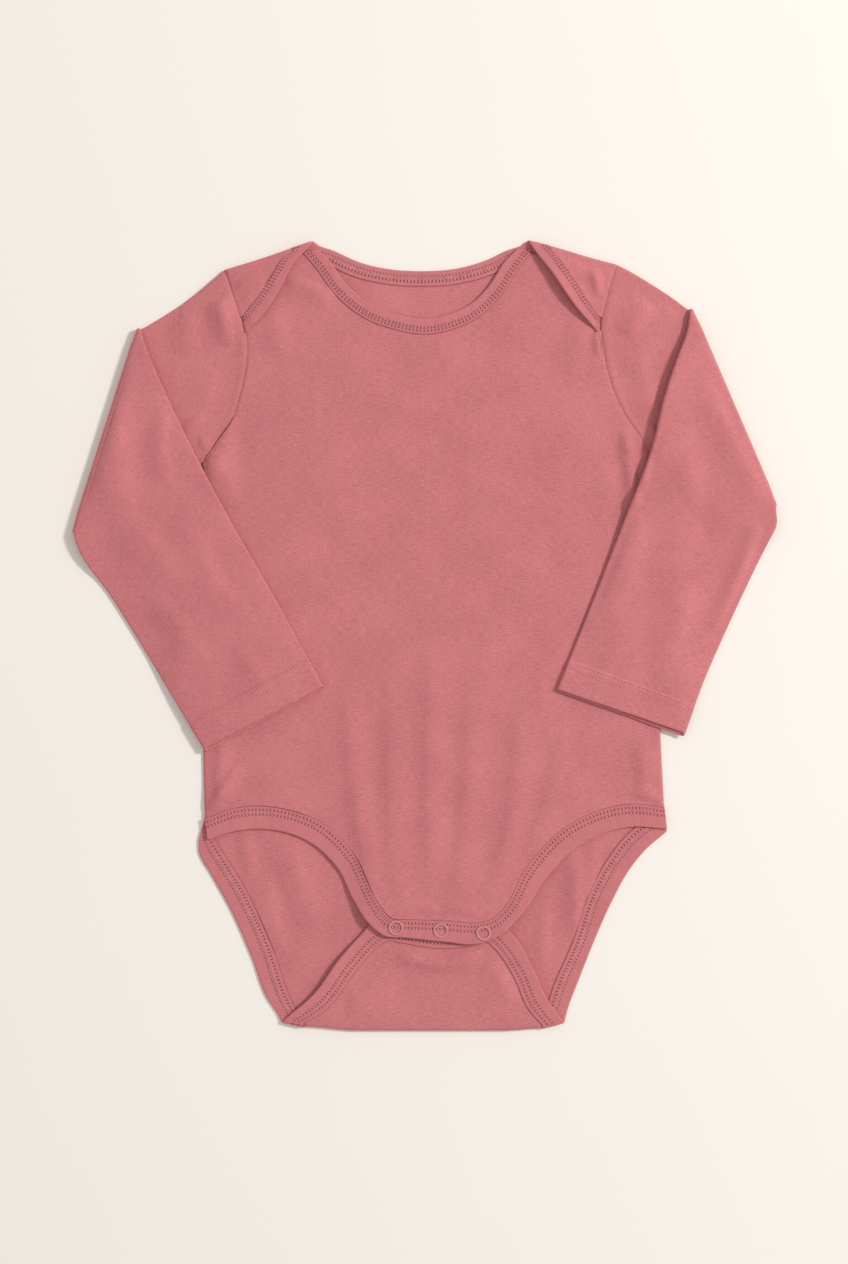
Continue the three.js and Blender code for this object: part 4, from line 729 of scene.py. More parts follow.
def stitchStrip(name, sections, rows, insideUp, material):
    # Two dash rows on both faces of the strip, and the looper thread on the face that was inside the garment
    width, _, normal = stripFrame(sections)
    at = evenPlaces(sections.mean(1), binding["pitch"])
    dashLength = binding["pitch"] * thread["dash"]
    lift = cloth["bindingHalf"] * (1 - binding["groove"]) + thread["radius"] - thread["sink"]
    blocks = []
    for face in (1, -1):
        up = readRows(normal, at) * face
        for row in rows.T:
            line = mix(sections[:, 0], sections[:, 1], ((row - binding["start"]) / width)[:, None])
            centres = readRows(line, at) + up * lift
            blocks.append(dashes(centres, directionsAt(line, at), up, dashLength, thread["radius"]))
    loops = zigzag(sections, normal * insideUp, width, rows, binding["pitch"])
    blocks.append(dashes(*loops, thread["loopRadius"]))
    return joinStitches(name, blocks, material)


def joinStitches(name, blocks, material):  # many small thread meshes as one piece
    starts = np.cumsum([0] + [len(places) for places, _ in blocks])
    places = np.concatenate([block[0] for block in blocks])
    faces = np.concatenate([block[1] + start for block, start in zip(blocks, starts)])
    grain = np.stack([places[:, 0] + places[:, 1], places[:, 2]], -1)
    return addMesh(name, places, faces, grain, material)


def evenRows(sections, pair):  # two stitch row distances at every section
    return np.broadcast_to(np.array(pair, float), (len(sections), 2))


def softenEdge(sections, at):
    # The free edge is smoothed for some millimetres round a fold, most at the fold itself
    weight = binding["softWeight"] * bell(np.arange(len(sections)) - at, binding["softReach"])[1:-1, None]
    for _ in range(binding["softPasses"]):
        edge = sections[:, 1]
        edge[1:-1] += weight * ((edge[:-2] + edge[2:]) / 2 - edge[1:-1])
    return sections


def joinRuns(runs, outs):
    # Strips one after the other, with a half turn round the fold between two, and the index of each fold
    parts, folds = [runs[0]], []
    for before, after, out in zip(runs, runs[1:], outs):
        folds.append(sum(len(part) for part in parts) + foldSteps // 2)
        parts += [halfTurn(before[-1], after[0][:, 2], out, foldSteps)[1:-1], after]
    return np.concatenate(parts), folds


def roundFolds(sections, folds, outs, distance, reach):
    # At each fold the free edge is softened and moved out by distance · bell(steps from the fold / reach)
    for at, out in zip(folds, outs):
        sections = softenEdge(sections, at)
        sections[:, 1, :2] += distance * bell(np.arange(len(sections)) - at, reach)[:, None] * np.array(out)
    return sections


# Heights under a strip at x, y and a share of its length; k is 0 on the seam line and 1 on the free edge
def onFloor(x, y, share, k):
    return 0 * x


def onFront(x, y, share, k):
    return frontUnder(x, y)


def onFlap(x, y, share, k):
    return flapUnder(x, y)


def onLap(lift):  # the lap's own height, raised by a sine along the strip and most at the free edge
    return lambda x, y, share, k: lapUnder(x, y) + lift * (0.5 + 0.5 * k) * np.sin(np.pi * share)


legDroop = {"places": [(-47, -139), (-40, -150), (62, -133)], "height": 1.9, "reach": 9.0}


def onFrontLeg(x, y, share, k):  # the free edge hangs down beside the crotch
    near = [bell(np.hypot(x - dropX, y - dropY), legDroop["reach"]) for dropX, dropY in legDroop["places"]]
    return frontUnder(x, y) - legDroop["height"] * sum(near) * k


def neckBackSections():
    # Left lap, back neck and right lap with the folds between them, and each section's stitch row distances
    left = stripSections(leftLapRows, 46, onLap(lapLift["left"]))
    neck = stripSections(backNeckRows, 150, onFloor)
    right = stripSections(rightLapRows, 46, onLap(lapLift["right"]))
    outs = outward(*leftShoulder, (0, 0)), outward(*rightShoulder, (0, 0))
    sections, folds = joinRuns([left, neck, right], outs)
    sections = roundFolds(sections, folds, outs, binding["loopOut"], binding["loopReach"])
    index = np.arange(len(sections))
    onNeck = rise(folds[0] - 12, folds[0] + 14, index) * (1 - rise(folds[1] - 14, folds[1] + 12, index))
    lapPair, neckPair = [evenRows(sections, binding[key]) for key in ("lapRows", "backNeckRows")]
    return sections, mix(lapPair, neckPair, onNeck[:, None])


def legBackSections():
    # Left leg, the flap's three edges and right leg, with the folds at both ends of the crotch
    left = stripSections(backLegLeftRows, 130, onFloor)
    flap = stripSections(flapRows, 210, onFlap)
    right = stripSections(backLegRightRows, 135, onFloor)
    sections, folds = joinRuns([left, flap, right], [(0, -1), (0, -1)])
    outs = [(-0.6, -0.8), (0.6, -0.8)]
    return roundFolds(sections, folds, outs, binding["cornerOut"], binding["cornerReach"])


# Sleeves are flattened tubes: out from the armhole, over the fold line and back on top down to the cuff
leftSleeve = {
    "side": -1, "armhole": leftArmholeRows, "shoulder": leftShoulder,
    "foldTop": np.array([-161.6, 174.2]), "foldBottom": np.array([-198.1, 59.8]),
    "edgeLift": 0.6,        # of the forearm's inner edge
    "hollow": 1.8,          # of the line over the arm
    "inner": [
        (-163.9, 177.0), (-148.4, 140.7), (-135.9, 114.5), (-112.6, 69.8), (-86.4, 24.2), (-57.5, -28.2)],
    "outer": [
        (-200.8, 59.0), (-196.6, 48.8), (-177.6, 20.8), (-160.5, -6.6), (-143.9, -33.9), (-125.7, -64.1)],
    "armCreases": [
        (-117, 192, -114, 182, -112, 166, 4.0, 1.3), (-139, 190, -136, 178, -137, 162, 6.0, 0.8),
        (-125, 124.5, -131, 121, -137, 116, 1.8, 0.6), (-129, 110, -126, 111, -122, 107.5, 1.6, 0.7),
        (-118, 150, -124, 140, -126, 130, 5.0, 0.5)],
    "foreCreases": [
        (-176, 158, -178, 120, -170, 72, 9.0, 1.1), (-144, 132, -150, 112, -146, 84, 4.0, 0.7),
        (-182, 96, -164, 62, -142, 34, 8.0, 0.7), (-128, 60, -122, 36, -104, 10, 6.0, 0.6),
        (-158, 26, -142, 8, -124, -16, 5.0, 0.4), (-108, -6, -98, -16, -90, -32, 4.0, 0.4)],
}
rightSleeve = {
    "side": 1, "armhole": rightArmholeRows, "shoulder": rightShoulder,
    "foldTop": np.array([150.6, 185.2]), "foldBottom": np.array([198.2, 74.7]),
    "edgeLift": 3.6, "hollow": -1.3,
    "inner": [(154.2, 183.8), (146.8, 166.2), (137.3, 138.5), (129.3, 106.5), (115.4, 70.4), (96.6, 22.5),
              (75.5, -29.9)],
    "outer": [(201.2, 73.0), (200.2, 62.5), (196.4, 54.6), (183.3, 27.6), (170.7, 0.3), (158.7, -27.1),
              (148.5, -55.0)],
    "armCreases": [
        (128, 190, 122, 182, 114, 172, 4.5, 0.9), (142, 186, 130, 170, 120, 148, 6.0, 0.7),
        (129, 121, 131, 116, 131.5, 109, 1.8, 0.8), (122, 160, 126, 142, 130, 128, 5.0, 0.5)],
    "foreCreases": [
        (158, 150, 172, 116, 192, 74, 6.0, 0.8), (189, 64, 180, 36, 164, 4, 3.4, 0.9),
        (142, 118, 150, 84, 148, 48, 8.0, 0.8), (122, 70, 116, 40, 104, 8, 6.0, 0.6),
        (150, 30, 142, 0, 134, -24, 6.0, 0.5), (112, -4, 104, -18, 96, -30, 3.5, 0.4)],
}
hem = {
    "half": 0.65, "length": 16.5, "loft": 0.25,
    "rows": (12.3, 15.9),   # of stitches, mm from the cuff's edge
    "rowWidth": 0.55, "rowDepth": 0.2, "pitch": 2.0,
    "peek": 2.2,            # how far the lower layer reaches past the upper one
    "peekLength": 3.0,
}
sleeveFit = {
    "across": 52,           # spans across the sleeve
    "turn": 7,              # spans round each of its edges
    "armRings": 42, "foldRings": 12,
    "puff": 1.3, "foldLoft": 1.4,
    "foldStep": 0.3,        # every forearm ring starts this much further from the fold line
    "fall": (-34, -9),      # where the forearm comes down beside what it lies on
    "armEdge": 1.2,
    "armpitUp": 2.4, "armpitOut": (0.9, -0.43),
    "endShare": 0.1, "endWeight": 0.45, "endReach": 6, "endPasses": 18,  # smoothing at the fold's two ends
    "allowance": 0.35, "allowancePlace": 3.2, "allowanceWidth": 2.2,      # seam allowance that shows through
}


def unit(vector):  # the same direction at length 1
    return np.asarray(vector, float) / np.hypot(*vector)


def blendDirections(start, end, share):  # straight blend, back to length 1
    return unit(mix(np.asarray(start), np.asarray(end), share))


def tubeRing(low, high, outStart, outEnd):
    # First layer out, half turn, second layer back, half turn
    turn = sleeveFit["turn"]
    endTurn = halfTurn(low[-1:], high[-1:, 2], outEnd, turn)[1:-1, 0]
    startTurn = halfTurn(high[:1], low[:1, 2], outStart, turn)[1:-1, 0]
    return np.concatenate([low, endTurn, high[::-1], startTurn])


def sleeveRest(spec, x, y):
    # What the forearm lies on: the body, the upper arm or the floor, with a soft fall between them
    overBody = spec["side"] * (readLine(leftSide if spec["side"] < 0 else rightSide, y) - x)
    armpit = spec["armhole"][-1]
    out = outward(armpit, spec["foldBottom"], spec["foldTop"])
    overArm = sleeveFit["armEdge"] - (x - armpit[0]) * out[0] - (y - armpit[1]) * out[1]
    onBody = (frontUnder(x, y) + frontRelief(x, y) + layerStep) * rise(*sleeveFit["fall"], overBody)
    return np.maximum(onBody, 2 * layerStep * rise(*sleeveFit["fall"], overArm))


def upperArmRing(spec, s, shares, away):
    # Two flat layers at share s of the way from the armhole to the fold line. The upper one has the seam's
    # groove and allowance, the roll of the sleeve head and the creases; the half turns swing towards the fold
    side, shoulderY = spec["side"], spec["armhole"][0][1]
    bottomY = (leftSideRows if side < 0 else rightSideRows)[0][1]
    armpitY = mix(bottomY, shoulderY, armpitRow)
    armpit = spec["armhole"][-1]
    armhole = leftArmhole if side < 0 else rightArmhole
    atEnd = armpitY + sleeveFit["armpitUp"] * rise(0.97, 1, shares)
    y = np.where(shares < 1, mix(shoulderY, armpitY, shares), atEnd)
    x = readLine(armhole, y) - side * cloth["seamOverlap"]
    start = np.stack([x, y], -1)
    end = mix(spec["foldTop"], spec["foldBottom"], shares[:, None])
    shoulderOut = outward(*spec["shoulder"], (0, 0))
    overOut = outward(spec["armhole"][0], spec["foldTop"], spec["foldBottom"])
    underOut = outward(armpit, spec["foldBottom"], spec["foldTop"])
    hollow = spec["hollow"] * 4 * s * (1 - s) * (1 - shares[:, None]) ** 3
    flat = mix(start, end, s) - overOut * hollow
    reach = s * np.linalg.norm(end - start, axis=1)
    groove = pinch(reach)
    showing = bell(reach - sleeveFit["allowancePlace"], sleeveFit["allowanceWidth"])
    allowance = sleeveFit["allowance"] * showing * rise(0, 0.2, shares)
    head = cloth["sideRoll"] * (1 - rise(0.1, 0.5, shares)) * (1 - rise(0, 0.6, s))
    relief = creaseRelief(flat[:, 0], flat[:, 1], spec["armCreases"])
    relief = relief * rise(0, 0.06, shares) * rise(0, 0.06, 1 - shares)
    high = layerStep + cloth["half"] + head + allowance + relief - cloth["seamDepth"] * groove
    if s < 0.5:
        outStart = blendDirections(shoulderOut, overOut, rise(0, 0.3, s))
        atArmpit = unit((side * sleeveFit["armpitOut"][0], sleeveFit["armpitOut"][1]))
        outEnd = blendDirections(atArmpit, underOut, rise(0, 0.2, s))
    else:
        outStart = blendDirections(overOut, away, rise(0.6, 1, s))
        outEnd = blendDirections(underOut, -away, rise(0.6, 1, s))
    low = np.column_stack([flat, np.full(len(shares), cloth["half"])])
    ring = tubeRing(low, np.column_stack([flat, high]), outStart, outEnd)
    grooves = np.column_stack([flat, groove]), np.column_stack([flat, groove + 1e-6])
    pinched = tubeRing(*grooves, outStart, outEnd)[:, 2]
    return ring, cloth["half"] * (1 - cloth["seamThinning"] * np.clip(pinched, 0, 1))


def forearmRing(spec, s, shares, away, foldUnder, lengths):
    # Two layers across from the inner to the outer line at share s, laid on what is under them. The inner
    # edge is lifted, the middle puffs up by 4t(1−t), and the hem is thicker with its two rows pressed in
    outerLength, innerLength = lengths
    toCuff = (1 - s) * outerLength
    half = mix(cloth["half"], hem["half"], rise(-0.6, 0.6, hem["length"] - toCuff))
    stitched = sum(bell(toCuff - row, hem["rowWidth"]) for row in hem["rows"])

    def innerShare(value):
        return 1 - ((1 - value) * outerLength + (innerLength - outerLength) * (1 - value) ** 2) / innerLength

    ahead = min(s, 0.99)
    inner = curveThrough(spec["inner"], [innerShare(s), innerShare(ahead), innerShare(ahead + 0.01)])
    outer = curveThrough(spec["outer"], [s, ahead, ahead + 0.01])
    innerOut = outward(inner[1], inner[2], outer[0])
    outerOut = outward(outer[1], outer[2], inner[0])
    start = blendDirections(away, innerOut, rise(0, 0.12, s))
    end = blendDirections(-away, outerOut, rise(0, 0.12, s))
    lift = spec["edgeLift"] * bell(s - 0.25, 0.2) * rise(0, 0.08, s)
    inset = 2 * half + cloth["gap"] / 2
    begin, finish = inner[0] - start * inset, outer[0] - end * inset
    flat = mix(begin, finish, shares[:, None])
    rest = sleeveRest(spec, flat[:, 0], flat[:, 1])
    under = mix(np.maximum(foldUnder, rest), rest, rise(0, 32, s * outerLength))
    low = under + half + lift * (1 - shares) ** 3
    puff = sleeveFit["puff"] * 4 * shares * (1 - shares) * rise(0, 0.25, s) * (1 - 0.7 * rise(0.8, 1, s))
    inside = rise(0, 0.08, shares) * rise(0, 0.08, 1 - shares) * rise(0, 0.06, s)
    relief = creaseRelief(flat[:, 0], flat[:, 1], spec["foreCreases"]) * inside
    relief += 0.25 * inside * (1 + softWaves(flat[:, 0], flat[:, 1], 9)) * rise(0.1, 0.2, 1 - s)
    relief *= rise(2, 14, toCuff + 2)
    high = low + 2 * half + cloth["gap"] + puff + 0.35 * lift * (1 - shares) ** 4 + relief
    high = high + hem["loft"] * rise(-0.6, 0.6, hem["length"] - toCuff) - hem["rowDepth"] * stitched
    ring = tubeRing(np.column_stack([flat, high]), np.column_stack([flat, low]), start, end)
    if toCuff < hem["peekLength"]:
        # The lower layer ends a little further out than the upper one
        along = unit((-(finish - begin)[1], (finish - begin)[0]))
        down = along if along[1] < 0 else -along
        lower = np.clip((high[0] - ring[:, 2] + 0.001) / (high[0] - low.min()), 0, 1)
        lower[:len(shares)] = 0
        ring[:, :2] += down * hem["peek"] * lower[:, None] * (1 - toCuff / hem["peekLength"])
    edge = np.sqrt(np.clip(1 - (1 - np.clip(toCuff / half, 0, 1)) ** 2, 0.04, 1))
    return ring, np.full(len(ring), half * edge)


def lineLength(rows):  # sum of its spans
    return np.linalg.norm(np.diff(np.array(rows), axis=0), axis=1).sum()


def roundFoldEnds(places, shares, middle):
    # Seen from above, the rings near the fold are smoothed along the sleeve, at its two edges only
    spans = sleeveFit["turn"] - 1
    ringShares = np.concatenate([shares, np.ones(spans), shares[::-1], np.zeros(spans)])
    atEdges = 1 - rise(0, sleeveFit["endShare"], np.minimum(ringShares, 1 - ringShares))
    near = sleeveFit["endWeight"] * bell(np.arange(len(places)) - middle, sleeveFit["endReach"])
    weight = near[1:-1, None, None] * atEdges[:, None]
    above = places[..., :2]
    for _ in range(sleeveFit["endPasses"]):
        above[1:-1] += weight * ((above[:-2] + above[2:]) / 2 - above[1:-1])


def sleeve(name, spec, material):
    # Upper arm rings, a half turn of the last ring round the fold line, then forearm rings
    shares = np.linspace(0, 1, sleeveFit["across"] + 1)
    out = outward(spec["foldTop"], spec["foldBottom"], (0, spec["foldTop"][1]))
    away = unit(spec["foldTop"] - spec["foldBottom"])
    foldUnder = 2 * layerStep + sleeveFit["foldLoft"]
    axisHeight = (cloth["half"] + foldUnder + (layerStep + cloth["half"])) / 2
    made = [upperArmRing(spec, s, shares, away) for s in np.linspace(0, 1, sleeveFit["armRings"]) ** 1.4]
    foldRing, foldHalf = made[-1]
    for angle in np.linspace(0, np.pi, sleeveFit["foldRings"] + 1)[1:]:
        radius = axisHeight - foldRing[:, 2]
        above = foldRing[:, :2] + out * radius[:, None] * np.sin(angle)
        made.append((np.column_stack([above, axisHeight - radius * np.cos(angle)]), foldHalf))
    lengths = lineLength(spec["outer"]), lineLength(spec["inner"])
    toHem = np.linspace(lengths[0] * 0.985, 19, 78)
    toCuff = np.concatenate([toHem, np.linspace(18.4, 1.4, 44), [0.8, 0.4, 0.15, 0]])
    for k, s in enumerate(1 - toCuff / lengths[0]):
        ring, half = forearmRing(spec, s, shares, away, foldUnder, lengths)
        beyond = np.maximum((ring[:, :2] - spec["foldTop"]) @ out + sleeveFit["foldStep"] * (k + 1), 0)
        ring[:, :2] -= beyond[:, None] * out
        made.append((ring, half))
    places, half = [np.stack(part) for part in zip(*made)]
    foldMiddle = sleeveFit["armRings"] + sleeveFit["foldRings"] // 2
    roundFoldEnds(places, shares, foldMiddle + 2)
    cuff = unit(np.subtract(spec["outer"][-1], spec["inner"][-1]))
    down = np.array([-cuff[1], cuff[0]]) * spec["side"] * -1
    flat = places[..., :2].copy()
    flat[:foldMiddle] = mirrored(flat[:foldMiddle], spec["foldTop"], spec["foldBottom"])
    grain = np.stack([flat @ cuff, flat @ down], -1)
    piece = shell(name, [sheetGrid(places, half, grain, closed=True)], material)
    return piece, places, toCuff


def hemStitches(name, places, toCuff, material):
    # Two dash rows round the cuff, on the tube's outer side
    columns = sleeveFit["across"] + 1
    top = places[-len(toCuff):, :columns]
    blocks = []
    for row in hem["rows"]:
        k = np.interp(-row, -toCuff, np.arange(len(toCuff)))
        low = int(k)
        line = mix(top[low], top[low + 1], k - low)[2:-2]
        normal = np.cross(np.gradient(line, axis=0), top[low + 3][2:-2] - top[low - 3][2:-2])
        normal *= np.sign(normal[:, 2:]) / np.linalg.norm(normal, axis=1, keepdims=True)
        at = evenPlaces(line, hem["pitch"])
        up = readRows(normal, at)
        centres = readRows(line, at) + up * (hem["half"] + thread["radius"] - thread["sink"])
        dashLength = hem["pitch"] * thread["dash"]
        blocks.append(dashes(centres, directionsAt(line, at), up, dashLength, thread["radius"]))
    return joinStitches(name, blocks, material)


# Snaps: pressed metal pieces, outlines of r, z turned round an upright axis
snap = {
    "places": [(-16.2, -165.5), (9.3, -167.0), (33.6, -168.5)],
    "outer": 4.25, "inner": 3.05, "height": 0.8, "hidden": 0.6, "stud": 1.6,
    "socketHole": 1.9, "axisHole": 0.02,
    "floors": {"cap": 6.7, "socket": 4.3, "stud": 3.6, "ring": 1.1}, "segments": 48,
}


def turned(outline, centre, height):
    # Every outline point goes round the axis; the outline closes on itself
    outline = np.array(outline, float)
    angle = np.arange(snap["segments"]) * 2 * np.pi / snap["segments"]
    x = centre[0] + outline[:, :1] * np.cos(angle)
    y = centre[1] + outline[:, :1] * np.sin(angle)
    places = np.stack([x, y, height + outline[:, 1:] + 0 * angle], -1)
    index = np.arange(places.shape[0] * places.shape[1]).reshape(places.shape[:2])
    up, right = np.roll(index, -1, axis=0), np.roll(index, -1, axis=1)
    faces = np.stack([index, right, np.roll(up, -1, axis=1), up], -1).reshape(-1, 4)
    grain = places[..., :2].reshape(-1, 2)
    return places.reshape(-1, 3), faces, grain


def bandOutline(inner, outer, height, rounding):
    # Closed ring section: a flat foot, and on top half an ellipse with a soft groove along its middle
    angle = np.linspace(0, np.pi, 13)
    groove = 1 - 0.5 * bell(angle - np.pi / 2, 0.7)
    crownR = (inner + outer) / 2 + (outer - inner) / 2 * np.cos(angle)
    crownZ = height - rounding + rounding * np.sin(angle) * groove
    return [(inner, 0), (outer, 0), *zip(crownR, crownZ)]


def snapOutlines():  # cap ring, socket, stud and back ring
    outer, hidden, stud, hole = [snap[key] for key in ("outer", "hidden", "stud", "axisHole")]
    return {
        "cap": bandOutline(snap["inner"], outer, snap["height"], 0.45),
        "socket": bandOutline(snap["socketHole"], outer, hidden, 0.2),
        "stud": [(hole, 0), (outer, 0), (outer, hidden - 0.15), (outer - 0.2, hidden), (stud, hidden),
                 (stud + 0.12, hidden + 0.3), (stud - 0.2, 2 * hidden), (hole, 2 * hidden)],
        "ring": bandOutline(snap["inner"], outer, hidden, 0.3),
    }


# Shader expressions
class Value:  # a socket; arithmetic on it adds Math nodes
    def __init__(self, finish, source):
        self.finish, self.source = finish, source

    def math(self, operation, other, swapped=False):
        pair = (other, self) if swapped else (self, other)
        return self.finish.node("ShaderNodeMath", {"operation": operation}, dict(enumerate(pair)))

    def __add__(self, other):
        return self.math("ADD", other)

    def __sub__(self, other):
        return self.math("SUBTRACT", other)

    def __rsub__(self, other):
        return self.math("SUBTRACT", other, swapped=True)

    def __mul__(self, other):
        return self.math("MULTIPLY", other)

    def __pow__(self, other):
        return self.math("POWER", other)

    __radd__, __rmul__ = __add__, __mul__


class Finish:  # a material with its node tree; node() makes any node from its type, settings and sockets
    def __init__(self, name):
        self.material = bpy.data.materials.new(name)
        self.material.use_nodes = True
        self.tree = self.material.node_tree
        self.tree.nodes.clear()

    def node(self, kind, settings, sockets=None, output=0):
        made = self.tree.nodes.new(kind)
        for key, setting in settings.items():
            setattr(made, key, setting)
        for key, item in (sockets or {}).items():
            if isinstance(item, Value):
                self.tree.links.new(item.source, made.inputs[key])
            else:
                made.inputs[key].default_value = item
        return Value(self, made.outputs[output]) if len(made.outputs) else made

    def mapPlace(self, name):  # the two coordinates of a UV map, in millimetres
        uv = self.node("ShaderNodeUVMap", {"uv_map": name})
        first = self.node("ShaderNodeSeparateXYZ", {}, {0: uv})
        return first, Value(self, first.source.node.outputs[1])

    def grain(self, alongScale, acrossScale):  # the grain map, scaled along and across the courses
        uv = self.node("ShaderNodeUVMap", {"uv_map": "grain"})
        return self.node("ShaderNodeMapping", {}, {"Vector": uv, "Scale": (alongScale, acrossScale, 1)})

    def noise(self, vector, scale=1.0, detail=3.0, roughness=0.5):
        sockets = {"Vector": vector, "Scale": scale, "Detail": detail, "Roughness": roughness}
        return self.node("ShaderNodeTexNoise", {}, sockets)

    def mixColours(self, factor, first, second):
        sockets = {0: factor, 6: first, 7: second}
        return self.node("ShaderNodeMix", {"data_type": "RGBA"}, sockets, output=2)

    def end(self, sockets, height, distance, strength):
        bump = {"Height": height, "Distance": distance, "Strength": strength}
        sockets["Normal"] = self.node("ShaderNodeBump", {}, bump)
        shader = self.node("ShaderNodeBsdfPrincipled", {}, sockets)
        self.node("ShaderNodeOutputMaterial", {}, {"Surface": shader})
        return self.material


def wave(finish, coordinate, period):  # 0 to 1 and back once every period
    turns = coordinate * (2 * np.pi / period)
    return finish.node("ShaderNodeMath", {"operation": "SINE"}, {0: turns}) * 0.5 + 0.5


def peak(finish, offset):  # exp(−offset²), 1 on a line and gone beside it
    return finish.node("ShaderNodeMath", {"operation": "EXPONENT"}, {0: offset * offset * -1.0})


jersey = {
    "light": (0.655, 0.212, 0.222), "dark": (0.50, 0.146, 0.157), "wale": 0.95, "course": 0.72,
    # "hole" is the painted shade colour of the needle holes and the binding's seam line
    "hole": (0.115, 0.016, 0.026), "roughness": 0.88, "sheen": 0.2,
}


def jerseyColour(finish, tone):  # dark to light by a tone
    return finish.mixColours(tone, (*jersey["dark"], 1), (*jersey["light"], 1))


def jerseyEnd(finish, colour, slub, relief):  # the slightly fuzzy surface of both jersey finishes
    return finish.end({
        "Base Color": colour, "Roughness": jersey["roughness"] - slub * 0.1, "Sheen Weight": jersey["sheen"],
        "Sheen Roughness": 0.6, "Sheen Tint": (0.95, 0.62, 0.62, 1), "Specular IOR Level": 0.25,
    }, relief, 0.0002, 0.6)


def jerseyMaterial():
    # Fine light and dark slubs along the courses over a soft mottle, with knit loops as bump
    finish = Finish("rose jersey")
    along, across = finish.mapPlace("grain")
    slub = finish.noise(finish.grain(0.24, 2.0), 1.0, 4.0, 0.62)
    wales = finish.noise(finish.grain(2.0, 0.28), 1.0, 2.0)
    mottle = finish.noise(finish.grain(0.035, 0.035), 1.0, 3.0)
    fine = finish.noise(finish.grain(1.5, 2.0), 1.0, 2.0)
    tone = 0.5 + (slub - 0.5) * 2.8 + (wales - 0.5) * 1.2 + (mottle - 0.5) * 1.1 + (fine - 0.5) * 1.9
    loops = wave(finish, along, jersey["wale"]) * 0.6 + wave(finish, across, jersey["course"]) * 0.4
    return jerseyEnd(finish, jerseyColour(finish, tone), slub, loops * 0.5 + fine * 0.6 + slub * 0.9)


def bindingMaterial():
    # The same jersey run along the strip, with painted shade on its seam line and in the needle holes of both
    # stitch rows
    finish = Finish("rose binding jersey")
    length, toRow = finish.mapPlace("sewing")
    toSeam = finish.mapPlace("grain")[1]
    beat = wave(finish, length + (binding["pitch"] / 4 - binding["trim"]), binding["pitch"]) ** 2
    # Mask of painted shade on the seam line and in the needle holes; it also presses them in as bump
    holesAndSeamShade = peak(finish, toRow * 1.7) * (beat * 0.85 + 0.15) + peak(finish, toSeam * 3.2) * 0.45
    slub = finish.noise(finish.grain(0.3, 1.9), 1.0, 4.0, 0.6)
    mottle = finish.noise(finish.grain(0.05, 0.06), 1.0, 3.0)
    fine = finish.noise(finish.grain(1.5, 1.9), 1.0, 2.0)
    tone = 0.5 + (slub - 0.5) * 1.2 + (mottle - 0.5) * 0.8 + (fine - 0.5) * 1.0
    # Painted shade: the colour is pulled towards the near-black hole colour by this mask
    dark = finish.node("ShaderNodeMath", {"operation": "MULTIPLY", "use_clamp": True}, {0: holesAndSeamShade, 1: 0.95})
    colour = finish.mixColours(dark, jerseyColour(finish, tone), (*jersey["hole"], 1))
    relief = fine * 0.6 + slub * 0.6 + wave(finish, length, 1.05) * 0.35 - holesAndSeamShade * 1.2
    return jerseyEnd(finish, colour, slub, relief)


def threadMaterial():
    # Twisted polyester thread, a little lighter and glossier than the cloth
    finish = Finish("rose sewing thread")
    twist = finish.noise(finish.grain(3.0, 3.0), 1.0, 2.0)
    colour = finish.mixColours(twist, (0.60, 0.195, 0.205, 1), (0.77, 0.32, 0.33, 1))
    return finish.end({"Base Color": colour, "Roughness": 0.6 - twist * 0.1, "Sheen Weight": 0.2,
                       "Specular IOR Level": 0.4}, twist, 0.0001, 0.5)


def snapMaterial():
    # Lacquered metal in light rose, faintly brushed and rubbed
    finish = Finish("rose lacquered metal")
    rubbed = finish.noise(finish.grain(0.5, 0.5), 1.0, 4.0)
    fine = finish.noise(finish.grain(4.0, 4.0), 1.0, 2.0)
    colour = finish.mixColours(rubbed, (0.56, 0.20, 0.20, 1), (0.72, 0.33, 0.32, 1))
    return finish.end({"Base Color": colour, "Metallic": 0.25, "Roughness": 0.34 + fine * 0.12,
                       "Coat Weight": 0.25, "Coat Roughness": 0.25}, fine, 0.00005, 0.3)


materials = {
    "jersey": jerseyMaterial(),
    "binding": bindingMaterial(),
    "thread": threadMaterial(),
    "snap": snapMaterial(),
}
print("materials made")

frontPiece = frontPanel(materials["jersey"])
backPiece = backPanel(materials["jersey"])
print("body panels made")
leftPiece, leftPlaces, leftToCuff = sleeve("left_sleeve", leftSleeve, materials["jersey"])
rightPiece, rightPlaces, rightToCuff = sleeve("right_sleeve", rightSleeve, materials["jersey"])
print("sleeves made")

neckBack, neckBackRows = neckBackSections()
neckFront = stripSections(frontNeckRows, 170, onFront)
legBack = legBackSections()
legFront = stripSections(frontLegRows, 330, onFrontLeg)
strips = {}
for node, name, sections, rowPair, insideUp, tips in (
        ("neck_binding_back", "back_neck", neckBack, neckBackRows, 1, True),
        ("neck_binding_front", "front_neck", neckFront, binding["frontNeckRows"], -1, False),
        ("leg_binding_back", "back_leg", legBack, binding["backLegRows"], -1, False),
        ("leg_binding_front", "front_leg", legFront, binding["frontLegRows"], 1, False)):
    rows = evenRows(sections, rowPair)
    band = strip(name + "_strip", sections, rows, len(sections), materials["binding"], tips)
    strips[node] = band, stitchStrip(name + "_stitches", sections, rows, insideUp, materials["thread"])
cuffs = [hemStitches("left_cuff_stitches", leftPlaces, leftToCuff, materials["thread"]),
         hemStitches("right_cuff_stitches", rightPlaces, rightToCuff, materials["thread"])]
print("bindings and stitches made")


def register(piece, node=None):  # on the one body; the solid that it stands for is hidden
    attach(piece, "root")
    if node:
        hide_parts(node)


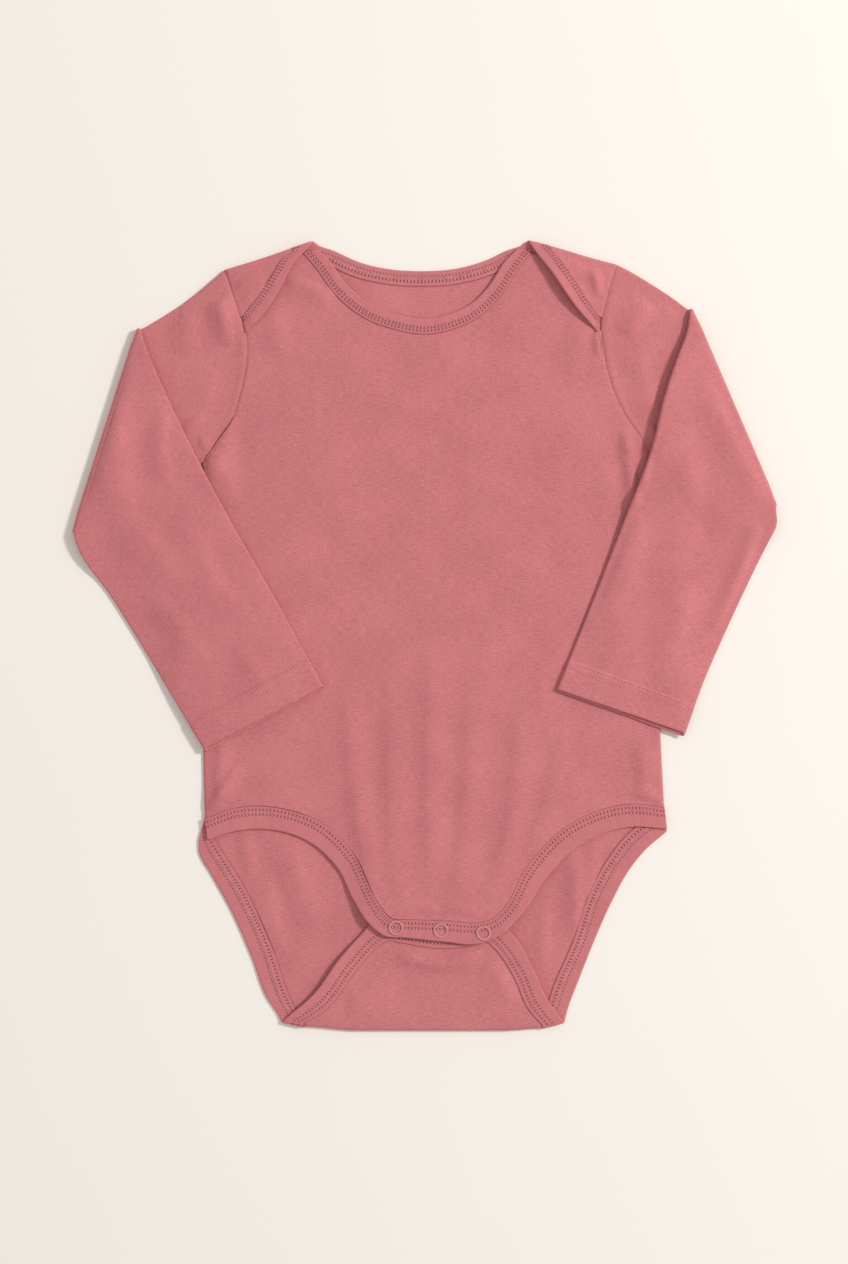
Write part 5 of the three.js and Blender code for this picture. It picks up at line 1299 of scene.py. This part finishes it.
panels = {"front": frontPiece, "back": backPiece, "sleeve_left": leftPiece, "sleeve_right": rightPiece}
for node, piece in panels.items():
    register(piece, node)
for node, (band, stitches) in strips.items():
    register(band, node)
    register(stitches)
for stitches in cuffs:
    register(stitches)
for k, centre in enumerate(snap["places"]):
    for kind, outline in snapOutlines().items():
        solid = f"snap_{kind}_{k + 1}"
        ring = turned(outline, centre, snap["floors"][kind])
        register(addMesh(solid + "_metal", *ring, materials["snap"]), solid)
print("snaps made")

# Studio: pale floor, one soft key from the upper right and an even pale surround
studio = {
    "floorSize": 6.0, "floorColour": (0.93, 0.885, 0.835), "keyPlace": (2.3, 0.9, 2.15), "keySize": 0.5,
    "keyColour": (1.0, 0.985, 0.965),
    "keyPower": 67.5, "surround": (1.0, 0.985, 0.97), "surroundStrength": 0.60,
}


def floorMaterial():  # pale and matt, with a faint mottle
    finish = Finish("pale floor")
    place = finish.node("ShaderNodeTexCoord", {}, output=3)
    soft = finish.noise(place, 6.0, 3.0)
    fine = finish.noise(place, 900.0, 2.0)
    low = tuple(0.985 * part for part in studio["floorColour"])
    colour = finish.mixColours(soft, (*low, 1), (*studio["floorColour"], 1))
    return finish.end({"Base Color": colour, "Roughness": 0.9, "Specular IOR Level": 0.2}, fine, 0.0001, 0.2)


size = studio["floorSize"] / 2 / cloth["metres"]
corners = np.array([(-size, -size, 0), (size, -size, 0), (size, size, 0), (-size, size, 0)], float)
floor = addMesh("floor", corners, np.array([[0, 1, 2, 3]]), corners[:, :2], floorMaterial())

key = bpy.data.lights.new("key", "AREA")
key.shape, key.size, key.energy = "DISK", studio["keySize"], studio["keyPower"]
key.color = studio["keyColour"]
keyLamp = bpy.data.objects.new("key", key)
keyLamp.location = studio["keyPlace"]
aim = -np.array(studio["keyPlace"])
keyLamp.rotation_euler = Vector(aim).to_track_quat("-Z", "Y").to_euler()
bpy.context.scene.collection.objects.link(keyLamp)

world = bpy.data.worlds.new("surround")
world.use_nodes = True
background = world.node_tree.nodes["Background"]
background.inputs["Color"].default_value = (*studio["surround"], 1)
background.inputs["Strength"].default_value = studio["surroundStrength"]
bpy.context.scene.world = world
bpy.context.scene.view_settings.view_transform = "Standard"

# Camera straight above, framed as 848 by 1264
view = {"lens": 70, "sensor": 36, "centre": (-0.0003, 0.0026), "tall": 0.7205, "focusHeight": 0.003}
cameraData = bpy.data.cameras.new("camera")
cameraData.lens, cameraData.sensor_width = view["lens"], view["sensor"]
distance = view["tall"] * view["lens"] / view["sensor"]
cameraData.clip_start, cameraData.clip_end = 0.05, 20
camera = bpy.data.objects.new("camera", cameraData)
camera.location = (*view["centre"], view["focusHeight"] + distance)
bpy.context.scene.collection.objects.link(camera)
bpy.context.scene.camera = camera
print("studio and camera made")
